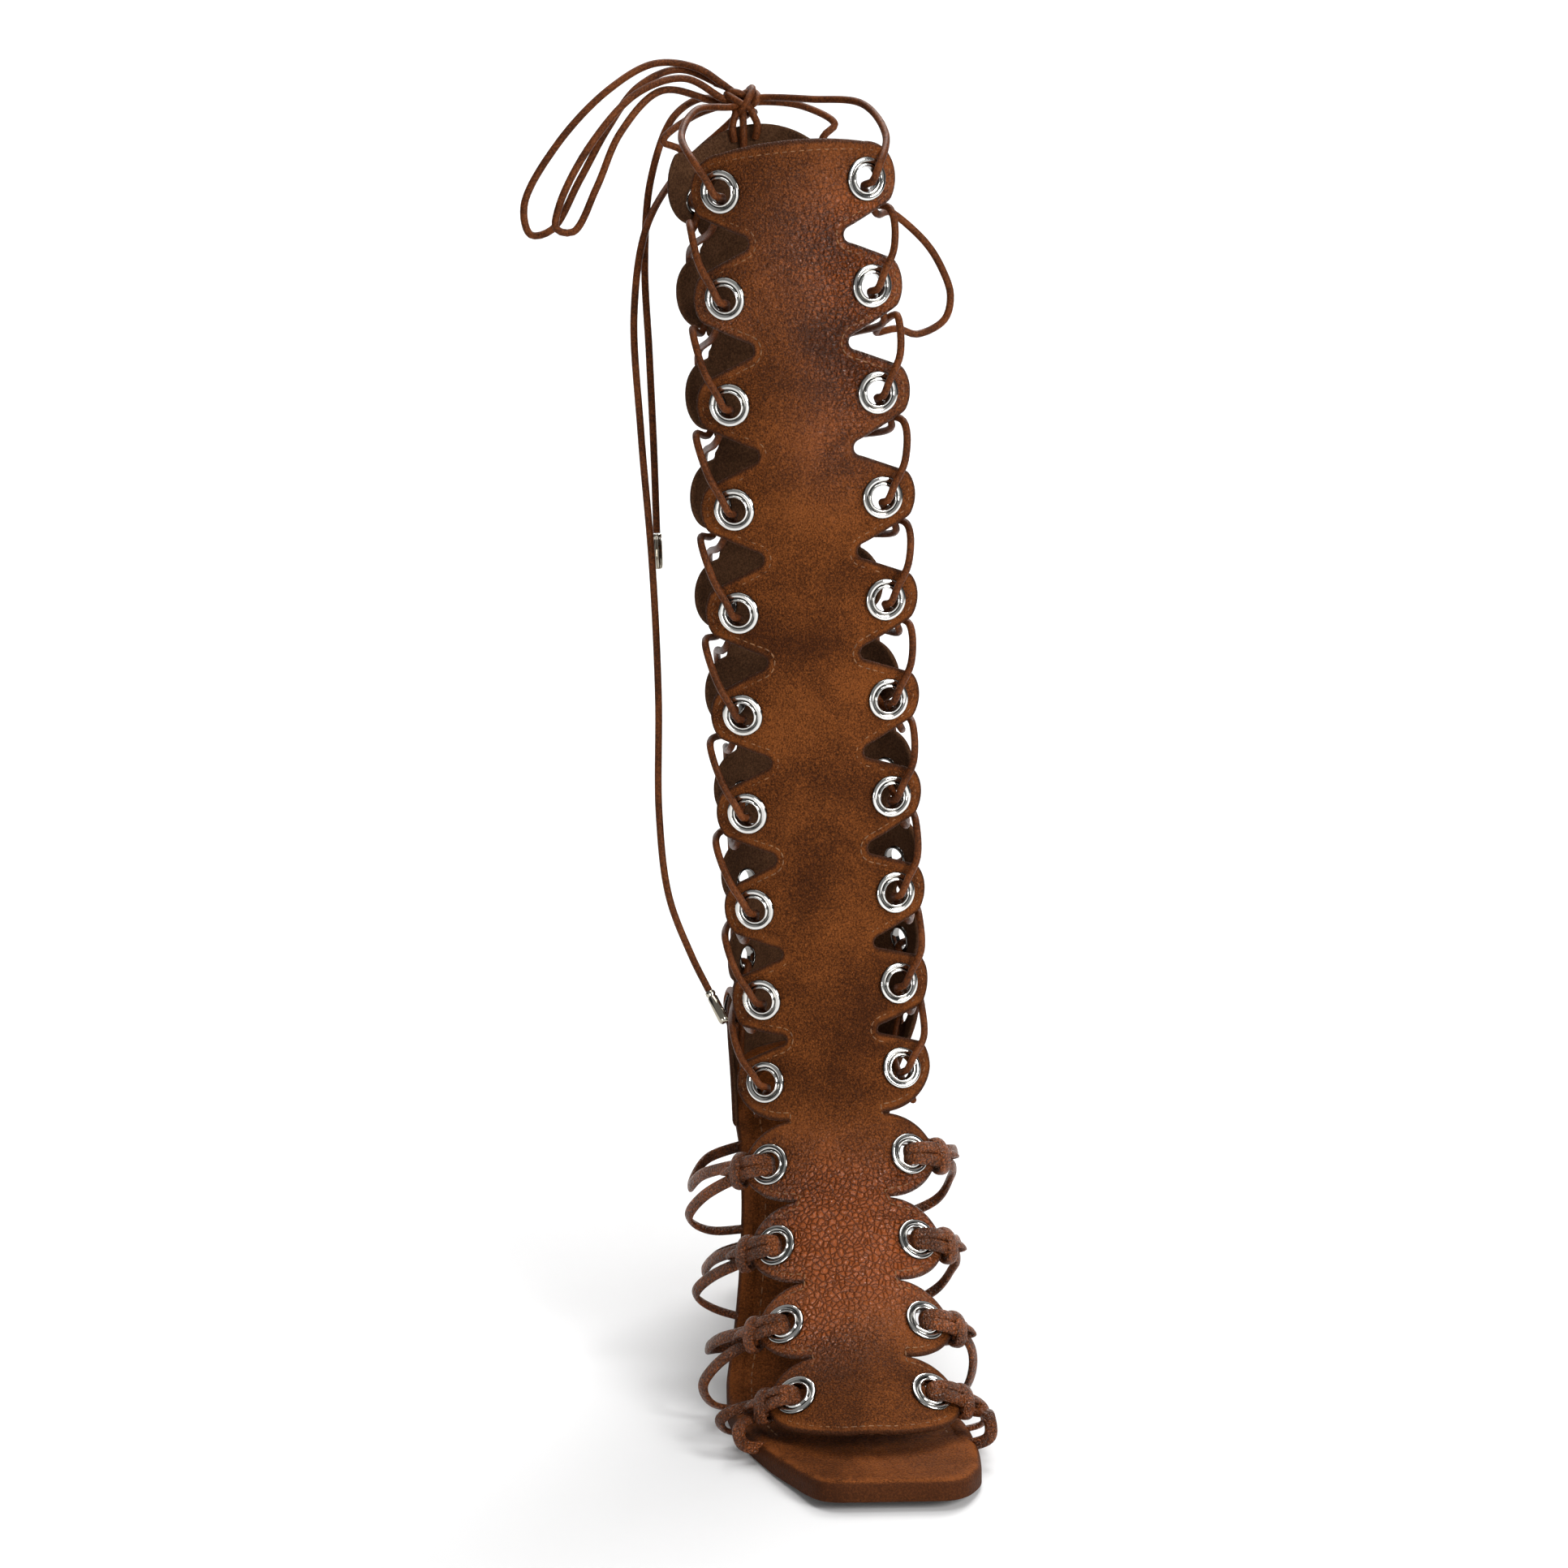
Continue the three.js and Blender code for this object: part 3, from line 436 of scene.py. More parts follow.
def belongs(made, node=None):
    """Hides the CAD solid that a piece stands for, and parents the piece to the root body."""
    if node:
        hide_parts(node)
    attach(made, "root")
    return made


def loop_links(start, count):
    """Pairs of neighbouring corners round a closed loop."""
    ring = np.arange(start, start + count)
    return list(zip(ring.tolist(), np.roll(ring, -1).tolist()))


def cut_piece(name, outline, holes, place, upper, lower, rings, spacing, materials, marks=None):
    """A closed piece cut to an outline. place(u, v, out) is its surface, and upper(depth) and lower(depth)
    are its two faces' heights at a distance in from the edge, where rings of points round the edge off.
    That distance is stored on the piece as "edge", in centimetres."""
    flat, links, start = [outline], loop_links(0, len(outline)), len(outline)
    turn = circle(HOLE["sides"])
    for u, v, radius in holes:
        flat.append(stack(u + radius * np.cos(turn), v + radius * np.sin(turn)))
        links += loop_links(start, HOLE["sides"])
        start += HOLE["sides"]
    for inset in rings:
        drawn = outline + inward(outline) * inset
        flat.append(drawn[depth_inside(drawn, outline) > inset * 0.96])
    low, high = outline.min(axis=0), outline.max(axis=0)
    us = np.arange(low[0], high[0], spacing * 0.866)
    vs = np.arange(low[1], high[1], spacing)
    grid = np.array([(u, v + (i % 2) * spacing / 2) for i, u in enumerate(us) for v in vs])
    flat.append(grid[depth_inside(grid, outline) > rings[-1] + spacing * 0.55])
    flat = np.vstack(flat)
    free = np.ones(len(flat), bool)
    for u, v, radius in holes:
        close = np.hypot(flat[:, 0] - u, flat[:, 1] - v) < radius + 0.5
        close[:start] = False
        free &= ~close
    flat = flat[free]
    found = delaunay_2d_cdt([Vector(p) for p in flat.tolist()], links, [], 1, 1e-5)
    points = np.array([tuple(p) for p in found[0]])
    faces = np.array(found[2])
    centre = points[faces].mean(axis=1)
    keep = depth_inside(centre, outline) > 0
    for u, v, radius in holes:
        keep &= np.hypot(centre[:, 0] - u, centre[:, 1] - v) > radius * 0.995
    faces = faces[keep]
    count = len(points)
    depth = np.maximum(depth_inside(points, outline), 0)
    extra = marks(points, depth) if marks else {}
    lift = extra.pop("lift", np.zeros(count))
    top = place(points[:, 0], points[:, 1], upper(depth) + lift)
    bottom = place(points[:, 0], points[:, 1], lower(depth) + lift * 0.5)
    a, b, c = (top[faces[:, k]] for k in range(3))
    facing = np.sum(np.cross(b - a, c - a) * (a - bottom[faces[:, 0]]), axis=1).sum()
    if facing < 0:
        faces = faces[:, ::-1]
    sides = {}
    for p, q, r in faces:
        for pair in ((p, q), (q, r), (r, p)):
            sides[pair] = True
    rim = [pair for pair in sides if (pair[1], pair[0]) not in sides]
    walls = [(q, p, p + count, q + count) for p, q in rim]
    under = (faces[:, ::-1] + count).tolist()
    kinds = [0] * len(faces) + [1] * len(under) + [0] * len(walls)
    made = mesh_object(name, np.vstack([top, bottom]), faces.tolist() + under + walls, kinds, materials)
    store(made, "edge", np.concatenate([depth, depth]) / 10)
    for key, values in extra.items():
        store(made, key, np.concatenate([values, values]))
    return made


# ---------------------------------------------------------------- stitches, tubes and turned pieces


def ring_faces(rings, sides, closed=False):
    """Quads between neighbouring rings of corners. A closed strand's last ring meets its first."""
    faces = []
    for r in range(rings if closed else rings - 1):
        here, there = r * sides, (r + 1) % rings * sides
        for k in range(sides):
            following = (k + 1) % sides
            faces.append((here + k, here + following, there + following, there + k))
    return faces


def strand_faces(rings, sides):
    """Quads along a strand, and a cap at each of its ends."""
    last = (rings - 1) * sides
    return ring_faces(rings, sides) + [tuple(range(sides))[::-1], tuple(range(last, last + sides))]


def stitches(name, line, place, length, pitch, thick, material, lift):
    """Thread showing as short raised stitches along a flat line laid on a surface."""
    run = run_along(line)
    at = np.arange(pitch / 2, run[-1] - length / 2, pitch)

    def on(where, out):
        return place(np.interp(where, run, line[:, 0]), np.interp(where, run, line[:, 1]), out)

    ends = [(-0.5, 0.25), (-0.36, 0.85), (0.0, 1.0), (0.36, 0.85), (0.5, 0.25)]
    sides = 6
    turn = circle(sides)
    along = unit(on(at + length / 2, lift) - on(at - length / 2, lift))
    outward = unit(on(at, lift + 1) - on(at, lift))
    beside = np.cross(along, outward)
    rings = []
    for share, swell in ends:
        middle = on(at + share * length, lift)
        round_about = (beside[:, None] * np.cos(turn)[None, :, None]
                       + 0.8 * outward[:, None] * np.sin(turn)[None, :, None])
        rings.append(middle[:, None] + thick * swell * round_about)
    points = np.stack(rings, axis=1).reshape(-1, 3)
    per = sides * len(ends)
    one = strand_faces(len(ends), sides)
    faces = [tuple(start + i for i in face) for start in range(0, len(at) * per, per) for face in one]
    return belongs(mesh_object(name, points, faces, None, [material]))


def smooth_route(points, step=1.5):
    """Points along a smooth curve through a route's own points."""
    p = np.asarray(points, float)
    p = np.vstack([2 * p[0] - p[1], p, 2 * p[-1] - p[-2]])
    knots = run_along(p, 0.5)
    made = []
    for i in range(1, len(p) - 2):
        t0, t1, t2, t3 = knots[i - 1:i + 3]
        count = max(int(np.linalg.norm(p[i + 1] - p[i]) / step), 2)
        t = np.linspace(t1, t2, count, endpoint=False)[:, None]
        a1 = (t1 - t) / (t1 - t0) * p[i - 1] + (t - t0) / (t1 - t0) * p[i]
        a2 = (t2 - t) / (t2 - t1) * p[i] + (t - t1) / (t2 - t1) * p[i + 1]
        a3 = (t3 - t) / (t3 - t2) * p[i + 1] + (t - t2) / (t3 - t2) * p[i + 2]
        b1 = (t2 - t) / (t2 - t0) * a1 + (t - t0) / (t2 - t0) * a2
        b2 = (t3 - t) / (t3 - t1) * a2 + (t - t1) / (t3 - t1) * a3
        made.append((t2 - t) / (t2 - t1) * b1 + (t - t1) / (t2 - t1) * b2)
    return np.vstack(made + [p[-2:-1]])


def cord_curve(name, points, radius, material):
    """A round lace along a route, as one open curve with its own thickness."""
    line = smooth_route(points)
    curve = bpy.data.curves.new(name, "CURVE")
    curve.dimensions = "3D"
    curve.bevel_depth = radius * MM
    curve.bevel_resolution = 3
    curve.use_fill_caps = True
    spline = curve.splines.new("POLY")
    spline.points.add(len(line) - 1)
    spline.points.foreach_set("co", np.column_stack([line * MM, np.ones(len(line))]).ravel())
    spline.use_smooth = True
    curve.materials.append(material)
    made = bpy.data.objects.new(name, curve)
    bpy.context.scene.collection.objects.link(made)
    return made, float(np.linalg.norm(np.diff(line, axis=0), axis=1).sum()) * MM


def band(points, upward, wide, thick, soften=6, sides=14, flatness=2.6):
    """Vertices and faces of a flattened rolled strand. upward is the way its width points at its start."""
    line = smooth_route(points, 1.0)
    for _ in range(soften):
        line[1:-1] = (line[:-2] + 2 * line[1:-1] + line[2:]) / 4
    along = unit(np.gradient(line, axis=0))
    face = np.cross(along, np.asarray(upward, float))
    for i in range(1, len(line)):
        face[i] = face[i - 1] - along[i] * np.dot(face[i - 1], along[i])
        face[i] /= np.linalg.norm(face[i])
    face[0] /= np.linalg.norm(face[0])
    width = np.cross(face, along)
    c, s = np.cos(circle(sides)), np.sin(circle(sides))
    p = 2 / flatness
    across, out = np.sign(c) * np.abs(c) ** p, np.sign(s) * np.abs(s) ** p
    ring = (line[:, None] + width[:, None] * (across * wide / 2)[None, :, None]
            + face[:, None] * (out * thick / 2)[None, :, None])
    return ring.reshape(-1, 3), strand_faces(len(line), sides)


def joined(name, parts, material):
    points, faces = [], []
    start = 0
    for p, f in parts:
        points.append(p)
        faces += [tuple(int(i) + start for i in face) for face in f]
        start += len(p)
    return mesh_object(name, np.vstack(points), faces, None, [material])


def turned(name, profile, sides, material):
    """A closed ring turned from a profile of (radius, height) corners, about +Z."""
    turn = circle(sides)
    profile = np.asarray(profile, float)
    points = np.stack([
        profile[:, 0][None] * np.cos(turn)[:, None],
        profile[:, 0][None] * np.sin(turn)[:, None],
        np.broadcast_to(profile[:, 1], (sides, len(profile)))], axis=-1).reshape(-1, 3)
    faces = [(a, d, c, b) for a, b, c, d in ring_faces(sides, len(profile), True)]
    return mesh_object(name, points, faces, None, [material])


def stand(made, centre, axis, spin=0.0):
    """Puts a turned piece with its +Z along an axis and its middle at a point."""
    turn = Vector(axis).to_track_quat("Z", "Y") @ Quaternion((0, 0, 1), spin)
    made.matrix_world = Matrix.Translation(Vector(centre) * MM) @ turn.to_matrix().to_4x4()


# ---------------------------------------------------------------- shader helpers and shared effects


def feed(tree, node, values):
    """Fills a node's inputs with numbers, or links them from another node's output."""
    for key, value in values.items():
        if isinstance(value, bpy.types.NodeSocket):
            tree.links.new(value, node.inputs[key])
        else:
            node.inputs[key].default_value = value
    return node


def put(tree, kind, values=None, **settings):
    """Adds a node."""
    made = tree.nodes.new(kind)
    for key, value in settings.items():
        setattr(made, key, value)
    return feed(tree, made, values or {})


def effect(name, inputs, outputs):
    """A shader node group with named sockets: its tree, its input sockets inside and its output node."""
    tree = bpy.data.node_groups.new(name, "ShaderNodeTree")
    for socket, kind, value in inputs:
        made = tree.interface.new_socket(socket, in_out="INPUT", socket_type=kind)
        if value is not None:
            made.default_value = value
    for socket, kind in outputs:
        tree.interface.new_socket(socket, in_out="OUTPUT", socket_type=kind)
    return tree, tree.nodes.new("NodeGroupInput").outputs, tree.nodes.new("NodeGroupOutput")


FLOAT, COLOUR, VECTOR = "NodeSocketFloat", "NodeSocketColor", "NodeSocketVector"


def maths(tree, operation, a, b=0.0, clamp=False):
    made = put(tree, "ShaderNodeMath", {0: a, 1: b}, operation=operation, use_clamp=clamp)
    return made.outputs[0]


def times(tree, a, b):
    return maths(tree, "MULTIPLY", a, b)


def vectors(tree, operation, values, out=0):
    return put(tree, "ShaderNodeVectorMath", values, operation=operation).outputs[out]


def ranged(tree, value, low, high, to_low, to_high):
    made = put(tree, "ShaderNodeMapRange", {"Value": value, "From Min": low, "From Max": high,
                                            "To Min": to_low, "To Max": to_high})
    return made.outputs[0]


def mixed(tree, share, a, b):
    return put(tree, "ShaderNodeMix", {0: share, 2: a, 3: b}, data_type="FLOAT").outputs[0]


def blended(tree, share, a, b):
    return put(tree, "ShaderNodeMix", {0: share, 6: a, 7: b}, data_type="RGBA").outputs[2]


def noise(tree, place, scale, detail, out="Fac", **more):
    values = {"Vector": place, "Scale": scale, "Detail": detail, **more}
    return put(tree, "ShaderNodeTexNoise", values).outputs[out]


def cells(tree, place, scale):
    """Distance to the nearest border of a cell."""
    made = put(tree, "ShaderNodeTexVoronoi", {"Vector": place, "Scale": scale}, feature="DISTANCE_TO_EDGE")
    return made.outputs["Distance"]


def bumped(tree, height, distance, strength=1.0):
    made = put(tree, "ShaderNodeBump", {"Height": height, "Distance": distance, "Strength": strength})
    return made.outputs["Normal"]


def pebble_grain():
    """Tumbled hide: rounded pebbles between fine valleys, coarse where the hide is tumbled harder. Valley is
    a mask of the valleys, where shade is painted.
    """
    tree, given, out = effect(
        "pebble grain",
        [("Place", VECTOR, None), ("Coarse", FLOAT, 0.0), ("Size", FLOAT, 620.0)],
        [("Height", FLOAT), ("Valley", FLOAT)])
    warp = noise(tree, given["Place"], 260.0, 2.0, "Color")
    bent = vectors(tree, "SCALE", {0: warp, 3: 0.0016})
    place = vectors(tree, "ADD", {0: given["Place"], 1: bent})
    pebbles = cells(tree, place, given["Size"])
    beads = cells(tree, place, times(tree, given["Size"], 1.9))
    hills = maths(tree, "POWER", ranged(tree, pebbles, 0.0, 0.34, 0.0, 1.0), 0.55)
    small = maths(tree, "POWER", ranged(tree, beads, 0.0, 0.3, 0.0, 1.0), 0.6)
    fine = noise(tree, given["Place"], 1500.0, 3.0)
    quiet = maths(tree, "ADD", times(tree, small, 0.2), times(tree, fine, 0.3))
    loud = maths(tree, "ADD", times(tree, hills, 0.85), times(tree, small, 0.15))
    valley = times(tree, ranged(tree, pebbles, 0.0, 0.14, 1.0, 0.0), given["Coarse"])
    feed(tree, out, {"Height": mixed(tree, given["Coarse"], quiet, loud), "Valley": valley})
    return tree


def mottled_stain():
    """Hand-rubbed stain: broad clouds and small flecks between a dark and a light shade."""
    tree, given, out = effect(
        "mottled stain",
        [("Place", VECTOR, None), ("Dark", COLOUR, (0.04, 0.01, 0.005, 1)),
         ("Middle", COLOUR, (0.1, 0.04, 0.01, 1)), ("Light", COLOUR, (0.2, 0.08, 0.03, 1)),
         ("Shade", FLOAT, 0.0), ("Size", FLOAT, 38.0)],
        [("Color", COLOUR), ("Clouds", FLOAT)])
    clouds = noise(tree, given["Place"], given["Size"], 4.0, Roughness=0.55, Distortion=0.6)
    flecks = noise(tree, given["Place"], 1500.0, 3.0, Roughness=0.8)
    level = maths(tree, "ADD", ranged(tree, clouds, 0.3, 0.7, 0.16, 0.84),
                  ranged(tree, flecks, 0.36, 0.64, -0.5, 0.5))
    level = maths(tree, "ADD", level, times(tree, given["Shade"], 0.6), True)
    low = blended(tree, ranged(tree, level, 0.0, 0.5, 0.0, 1.0), given["Dark"], given["Middle"])
    full = blended(tree, ranged(tree, level, 0.5, 1.0, 0.0, 1.0), low, given["Light"])
    feed(tree, out, {"Color": full, "Clouds": level})
    return tree


def rubbed_edge():
    """Colour burnished along a cut edge and rubbed lighter just inside it."""
    tree, given, out = effect(
        "rubbed edge",
        [("Color", COLOUR, (0.1, 0.04, 0.01, 1)), ("Edge", FLOAT, 1.0), ("Place", VECTOR, None),
         ("Burnish", COLOUR, (0.03, 0.01, 0.006, 1)), ("Rub", COLOUR, (0.25, 0.11, 0.04, 1)),
         ("Amount", FLOAT, 0.5)],
        [("Color", COLOUR), ("Worn", FLOAT)])
    patchy = noise(tree, given["Place"], 160.0, 4.0)
    near = ranged(tree, given["Edge"], 0.06, 0.14, 1.0, 0.0)
    inner = times(tree, ranged(tree, given["Edge"], 0.08, 0.14, 0.0, 1.0),
                  ranged(tree, given["Edge"], 0.18, 0.42, 1.0, 0.0))
    worn = maths(tree, "MULTIPLY", times(tree, inner, given["Amount"]),
                 ranged(tree, patchy, 0.4, 0.62, 0.0, 1.0), True)
    rubbed = blended(tree, worn, given["Color"], given["Rub"])
    burnished = blended(tree, times(tree, near, 0.75), rubbed, given["Burnish"])
    feed(tree, out, {"Color": burnished, "Worn": worn})
    return tree


def fine_scuffs():
    """Small scratches and dull patches, as a mask."""
    tree, given, out = effect(
        "fine scuffs", [("Place", VECTOR, None), ("Size", FLOAT, 90.0)], [("Mask", FLOAT)])
    drawn_out = vectors(tree, "MULTIPLY", {0: given["Place"], 1: (1.0, 5.0, 0.6)})
    lines = noise(tree, drawn_out, given["Size"], 6.0, Roughness=0.75)
    feed(tree, out, {"Mask": ranged(tree, lines, 0.52, 0.7, 0.0, 1.0)})
    return tree


PEBBLES, STAIN, RUBBED, SCUFFS = pebble_grain(), mottled_stain(), rubbed_edge(), fine_scuffs()


def finish_of(name):
    material = bpy.data.materials.new(name)
    material.use_nodes = True
    tree = material.node_tree
    shader = tree.nodes["Principled BSDF"]
    place = tree.nodes.new("ShaderNodeTexCoord").outputs["Object"]
    return material, tree, shader, place


def grouped(tree, group, **values):
    return put(tree, "ShaderNodeGroup", values, node_tree=group).outputs


def measured(tree, name):
    return put(tree, "ShaderNodeAttribute", attribute_name=name).outputs["Fac"]


def set_plain(shader, **values):
    for key, value in values.items():
        shader.inputs[key.replace("_", " ")].default_value = value


# ---------------------------------------------------------------- finishes

# Cognac hide: its stain's three shades, a lighter colour painted on its tumbled patches as sheen, and its
# burnished edge.
HIDE_DARK = (0.04, 0.0098, 0.0022, 1)
HIDE_MIDDLE = (0.099, 0.0262, 0.0048, 1)
HIDE_LIGHT = (0.205, 0.058, 0.0118, 1)
HIDE_PAINTED_SHEEN = (0.37, 0.106, 0.028, 1)
HIDE_BURNISH = (0.035, 0.012, 0.006, 1)
COGNAC_SHINE = (1.0, 0.72, 0.52, 1)


def upper_leather(name, size=520.0, stain=38.0, dark=HIDE_DARK, middle=HIDE_MIDDLE, light=HIDE_LIGHT,
                  coarse=None, edges=True, rough=(0.66, 0.36), depth=0.0014, coat=0.0, specular=0.2):
    """Pebbled cognac faux leather with a rubbed stain. Duller where it is plain, glossier where tumbled, with
    sheen painted into its colour there and shade painted into its pebbles' valleys. coarse is how tumbled it
    is all over. Without it, the piece's own grain and stain say where."""
    material, tree, shader, place = finish_of(name)
    tumbled = measured(tree, "grain") if coarse is None else coarse
    # The stain attribute darkens or lightens the stain; on the front panel some of its lighter patches are
    # painted light.
    shade = measured(tree, "stain") if coarse is None else 0.0
    # Painted sheen: where the hide is tumbled, the stain's light shade is lifted towards a brighter colour.
    painted_sheen_light = blended(tree, times(tree, tumbled, 0.7), light, HIDE_PAINTED_SHEEN)
    hide = grouped(tree, STAIN, Place=place, Dark=dark, Middle=middle, Light=painted_sheen_light, Shade=shade, Size=stain)
    grain = grouped(tree, PEBBLES, Place=place, Coarse=tumbled, Size=size)
    # Painted shade: the pebbles' valleys are darkened towards the dark shade.
    colour = blended(tree, times(tree, grain["Valley"], 0.6), hide["Color"], dark)
    if edges:
        rubbed = grouped(tree, RUBBED, Color=colour, Edge=measured(tree, "edge"), Place=place,
                         Burnish=HIDE_BURNISH, Rub=light, Amount=0.7)
        colour = rubbed["Color"]
    scuffs = grouped(tree, SCUFFS, Place=place, Size=70.0)
    gloss = maths(tree, "ADD", mixed(tree, tumbled, *rough), times(tree, scuffs["Mask"], 0.08), True)
    normal = bumped(tree, grain["Height"], depth)
    feed(tree, shader, {"Base Color": colour, "Roughness": gloss, "Normal": normal, "Coat Normal": normal})
    if coarse is None:
        feed(tree, shader, {"Coat Weight": times(tree, tumbled, 0.75)})
    else:
        set_plain(shader, Coat_Weight=coat)
    set_plain(shader, Specular_IOR_Level=specular, Specular_Tint=COGNAC_SHINE, IOR=1.42,
              Coat_Roughness=0.2, Coat_Tint=(1.0, 0.8, 0.66, 1))
    return material


def lining_suede():
    """Dark brown brushed lining with a short nap."""
    material, tree, shader, place = finish_of("lining")
    hide = grouped(tree, STAIN, Place=place, Dark=(0.03, 0.0125, 0.006, 1), Middle=(0.06, 0.026, 0.012, 1),
                   Light=(0.1, 0.046, 0.022, 1), Shade=0.0, Size=60.0)
    nap = bumped(tree, noise(tree, place, 2600.0, 3.0), 0.00015, 0.8)
    feed(tree, shader, {"Base Color": hide["Color"], "Normal": nap})
    set_plain(shader, Roughness=0.85, Specular_IOR_Level=0.15, Specular_Tint=(1.0, 0.75, 0.55, 1))
    return material


def rolled_leather(name, dark, middle, light, depth=0.00012):
    """Thin leather rolled round a core: nearly smooth, with a soft shine."""
    material, tree, shader, place = finish_of(name)
    hide = grouped(tree, STAIN, Place=place, Dark=dark, Middle=middle, Light=light, Shade=0.0, Size=90.0)
    grain = grouped(tree, PEBBLES, Place=place, Coarse=0.25, Size=1100.0)
    gloss = ranged(tree, hide["Clouds"], 0, 1, 0.52, 0.34)
    normal = bumped(tree, grain["Height"], depth)
    feed(tree, shader, {"Base Color": hide["Color"], "Roughness": gloss, "Normal": normal})
    set_plain(shader, Specular_IOR_Level=0.2, Specular_Tint=(1.0, 0.76, 0.58, 1), IOR=1.42)
    return material


def eyelet_painted_shade(tree, place):
    """Mask of painted shade and dark reflections on an eyelet, by distance from its axis and height, in
    metres: in its groove, round its brim, in its well and on its rolled inner end."""
    level = vectors(tree, "MULTIPLY", {0: place, 1: (1.0, 1.0, 0.0)})
    radius = vectors(tree, "LENGTH", {0: level}, "Value")
    off_groove = maths(tree, "ABSOLUTE", maths(tree, "SUBTRACT", radius, 0.00508))
    groove = ranged(tree, off_groove, 0.00012, 0.00034, 1.0, 0.0)
    brim = ranged(tree, radius, 0.00668, 0.00692, 0.0, 1.0)
    well = ranged(tree, radius, 0.00408, 0.00424, 0.75, 0.0)
    height = put(tree, "ShaderNodeSeparateXYZ", {0: place}).outputs["Z"]
    inner = ranged(tree, height, -0.0006, -0.0002, 0.9, 0.0)
    return maths(tree, "MAXIMUM", maths(tree, "MAXIMUM", groove, brim), maths(tree, "MAXIMUM", well, inner))


def bright_nickel(name, tint, with_painted_shade):
    """Polished nickel plate with faint handling marks. On eyelets, shade and dark reflections are painted
    into its groove, brim, well and inner end.
    """
    material, tree, shader, place = finish_of(name)
    wear = noise(tree, place, 220.0, 2.0)
    worn = blended(tree, ranged(tree, wear, 0.5, 0.7, 0.0, 0.35), tint, (0.6, 0.56, 0.5, 1))
    if with_painted_shade:
        # Painted shade and dark reflections: the eyelet's groove, brim, well and inner end are darkened
        # nearly to black.
        worn = blended(tree, times(tree, eyelet_painted_shade(tree, place), 0.93), worn, (0.03, 0.026, 0.022, 1))
    feed(tree, shader, {"Base Color": worn, "Roughness": ranged(tree, wear, 0.35, 0.65, 0.04, 0.12)})
    set_plain(shader, Metallic=1.0)
    return material


def waxed_thread():
    material, tree, shader, place = finish_of("thread")
    twist = noise(tree, place, 900.0, 2.0)
    colour = blended(tree, ranged(tree, twist, 0.35, 0.65, 0.0, 1.0),
                     (0.11, 0.042, 0.013, 1), (0.26, 0.11, 0.034, 1))
    feed(tree, shader, {"Base Color": colour, "Normal": bumped(tree, twist, 0.0001, 0.6)})
    set_plain(shader, Roughness=0.6)
    return material


def sole_rubber():
    """Dark brown moulded rubber, dusty and scuffed, with fine ridges."""
    material, tree, shader, place = finish_of("sole rubber")
    scuffs = grouped(tree, SCUFFS, Place=place, Size=40.0)
    colour = blended(tree, scuffs["Mask"], (0.035, 0.017, 0.01, 1), (0.075, 0.045, 0.03, 1))
    ridges = put(tree, "ShaderNodeTexWave", {"Vector": place, "Scale": 180.0, "Distortion": 0.4},
                 bands_direction="Y").outputs["Fac"]
    feed(tree, shader, {"Base Color": colour, "Normal": bumped(tree, ridges, 0.0002, 0.5)})
    set_plain(shader, Roughness=0.78)
    return material


UPPER = upper_leather("pebbled leather")
LINING = lining_suede()
SOCK = upper_leather("footbed leather", size=640.0, coarse=0.3, depth=0.0003, specular=0.1, rough=(0.72, 0.5),
                     dark=(0.046, 0.0125, 0.0028, 1), middle=(0.108, 0.03, 0.006, 1),
                     light=(0.19, 0.054, 0.012, 1))
HEEL_COVER = upper_leather("heel cover leather", size=600.0, coarse=0.4, edges=False, depth=0.0003)
STRAP_LEATHER = upper_leather("rolled strap leather", size=760.0, stain=80.0, coarse=0.7, edges=False,
                              rough=(0.42, 0.3), depth=0.0007, coat=0.5, dark=(0.032, 0.0085, 0.002, 1),
                              middle=(0.1, 0.0295, 0.006, 1), light=(0.22, 0.068, 0.014, 1))
LACE_LEATHER = rolled_leather("lace leather", (0.034, 0.0092, 0.0028, 1), (0.084, 0.0225, 0.006, 1),
                              (0.16, 0.046, 0.0125, 1))
NICKEL = bright_nickel("nickel", (0.8, 0.79, 0.76, 1), True)
AGLET_METAL = bright_nickel("aglet metal", (0.42, 0.38, 0.3, 1), False)
THREAD = waxed_thread()
RUBBER = sole_rubber()

# ---------------------------------------------------------------- camera

# Where it stands, how far it looks down, how far it is turned and rolled, in degrees, and its lens.
CAMERA = dict(place=(-0.0384, -1.0151, 0.4291), down=11.8, turned=0.8, rolled=-0.6, lens=75.16, sensor=36)


def set_camera():
    camera = bpy.data.objects.new("camera", bpy.data.cameras.new("camera"))
    bpy.context.scene.collection.objects.link(camera)
    camera.data.sensor_width, camera.data.lens = CAMERA["sensor"], CAMERA["lens"]
    camera.data.clip_start, camera.data.clip_end = 0.05, 20
    pitch, yaw, roll = (math.radians(CAMERA[angle]) for angle in ("down", "turned", "rolled"))
    ahead = Vector((math.sin(yaw) * math.cos(pitch), math.cos(yaw) * math.cos(pitch), -math.sin(pitch)))
    right = Vector((math.cos(yaw), -math.sin(yaw), 0))
    up = right.cross(ahead)
    across = right * math.cos(roll) + up * math.sin(roll)
    upright = up * math.cos(roll) - right * math.sin(roll)
    turn = Matrix((across, upright, -ahead)).transposed().to_4x4()
    camera.matrix_world = Matrix.Translation(CAMERA["place"]) @ turn
    bpy.context.scene.camera = camera


# ---------------------------------------------------------------- bow, loops and ends

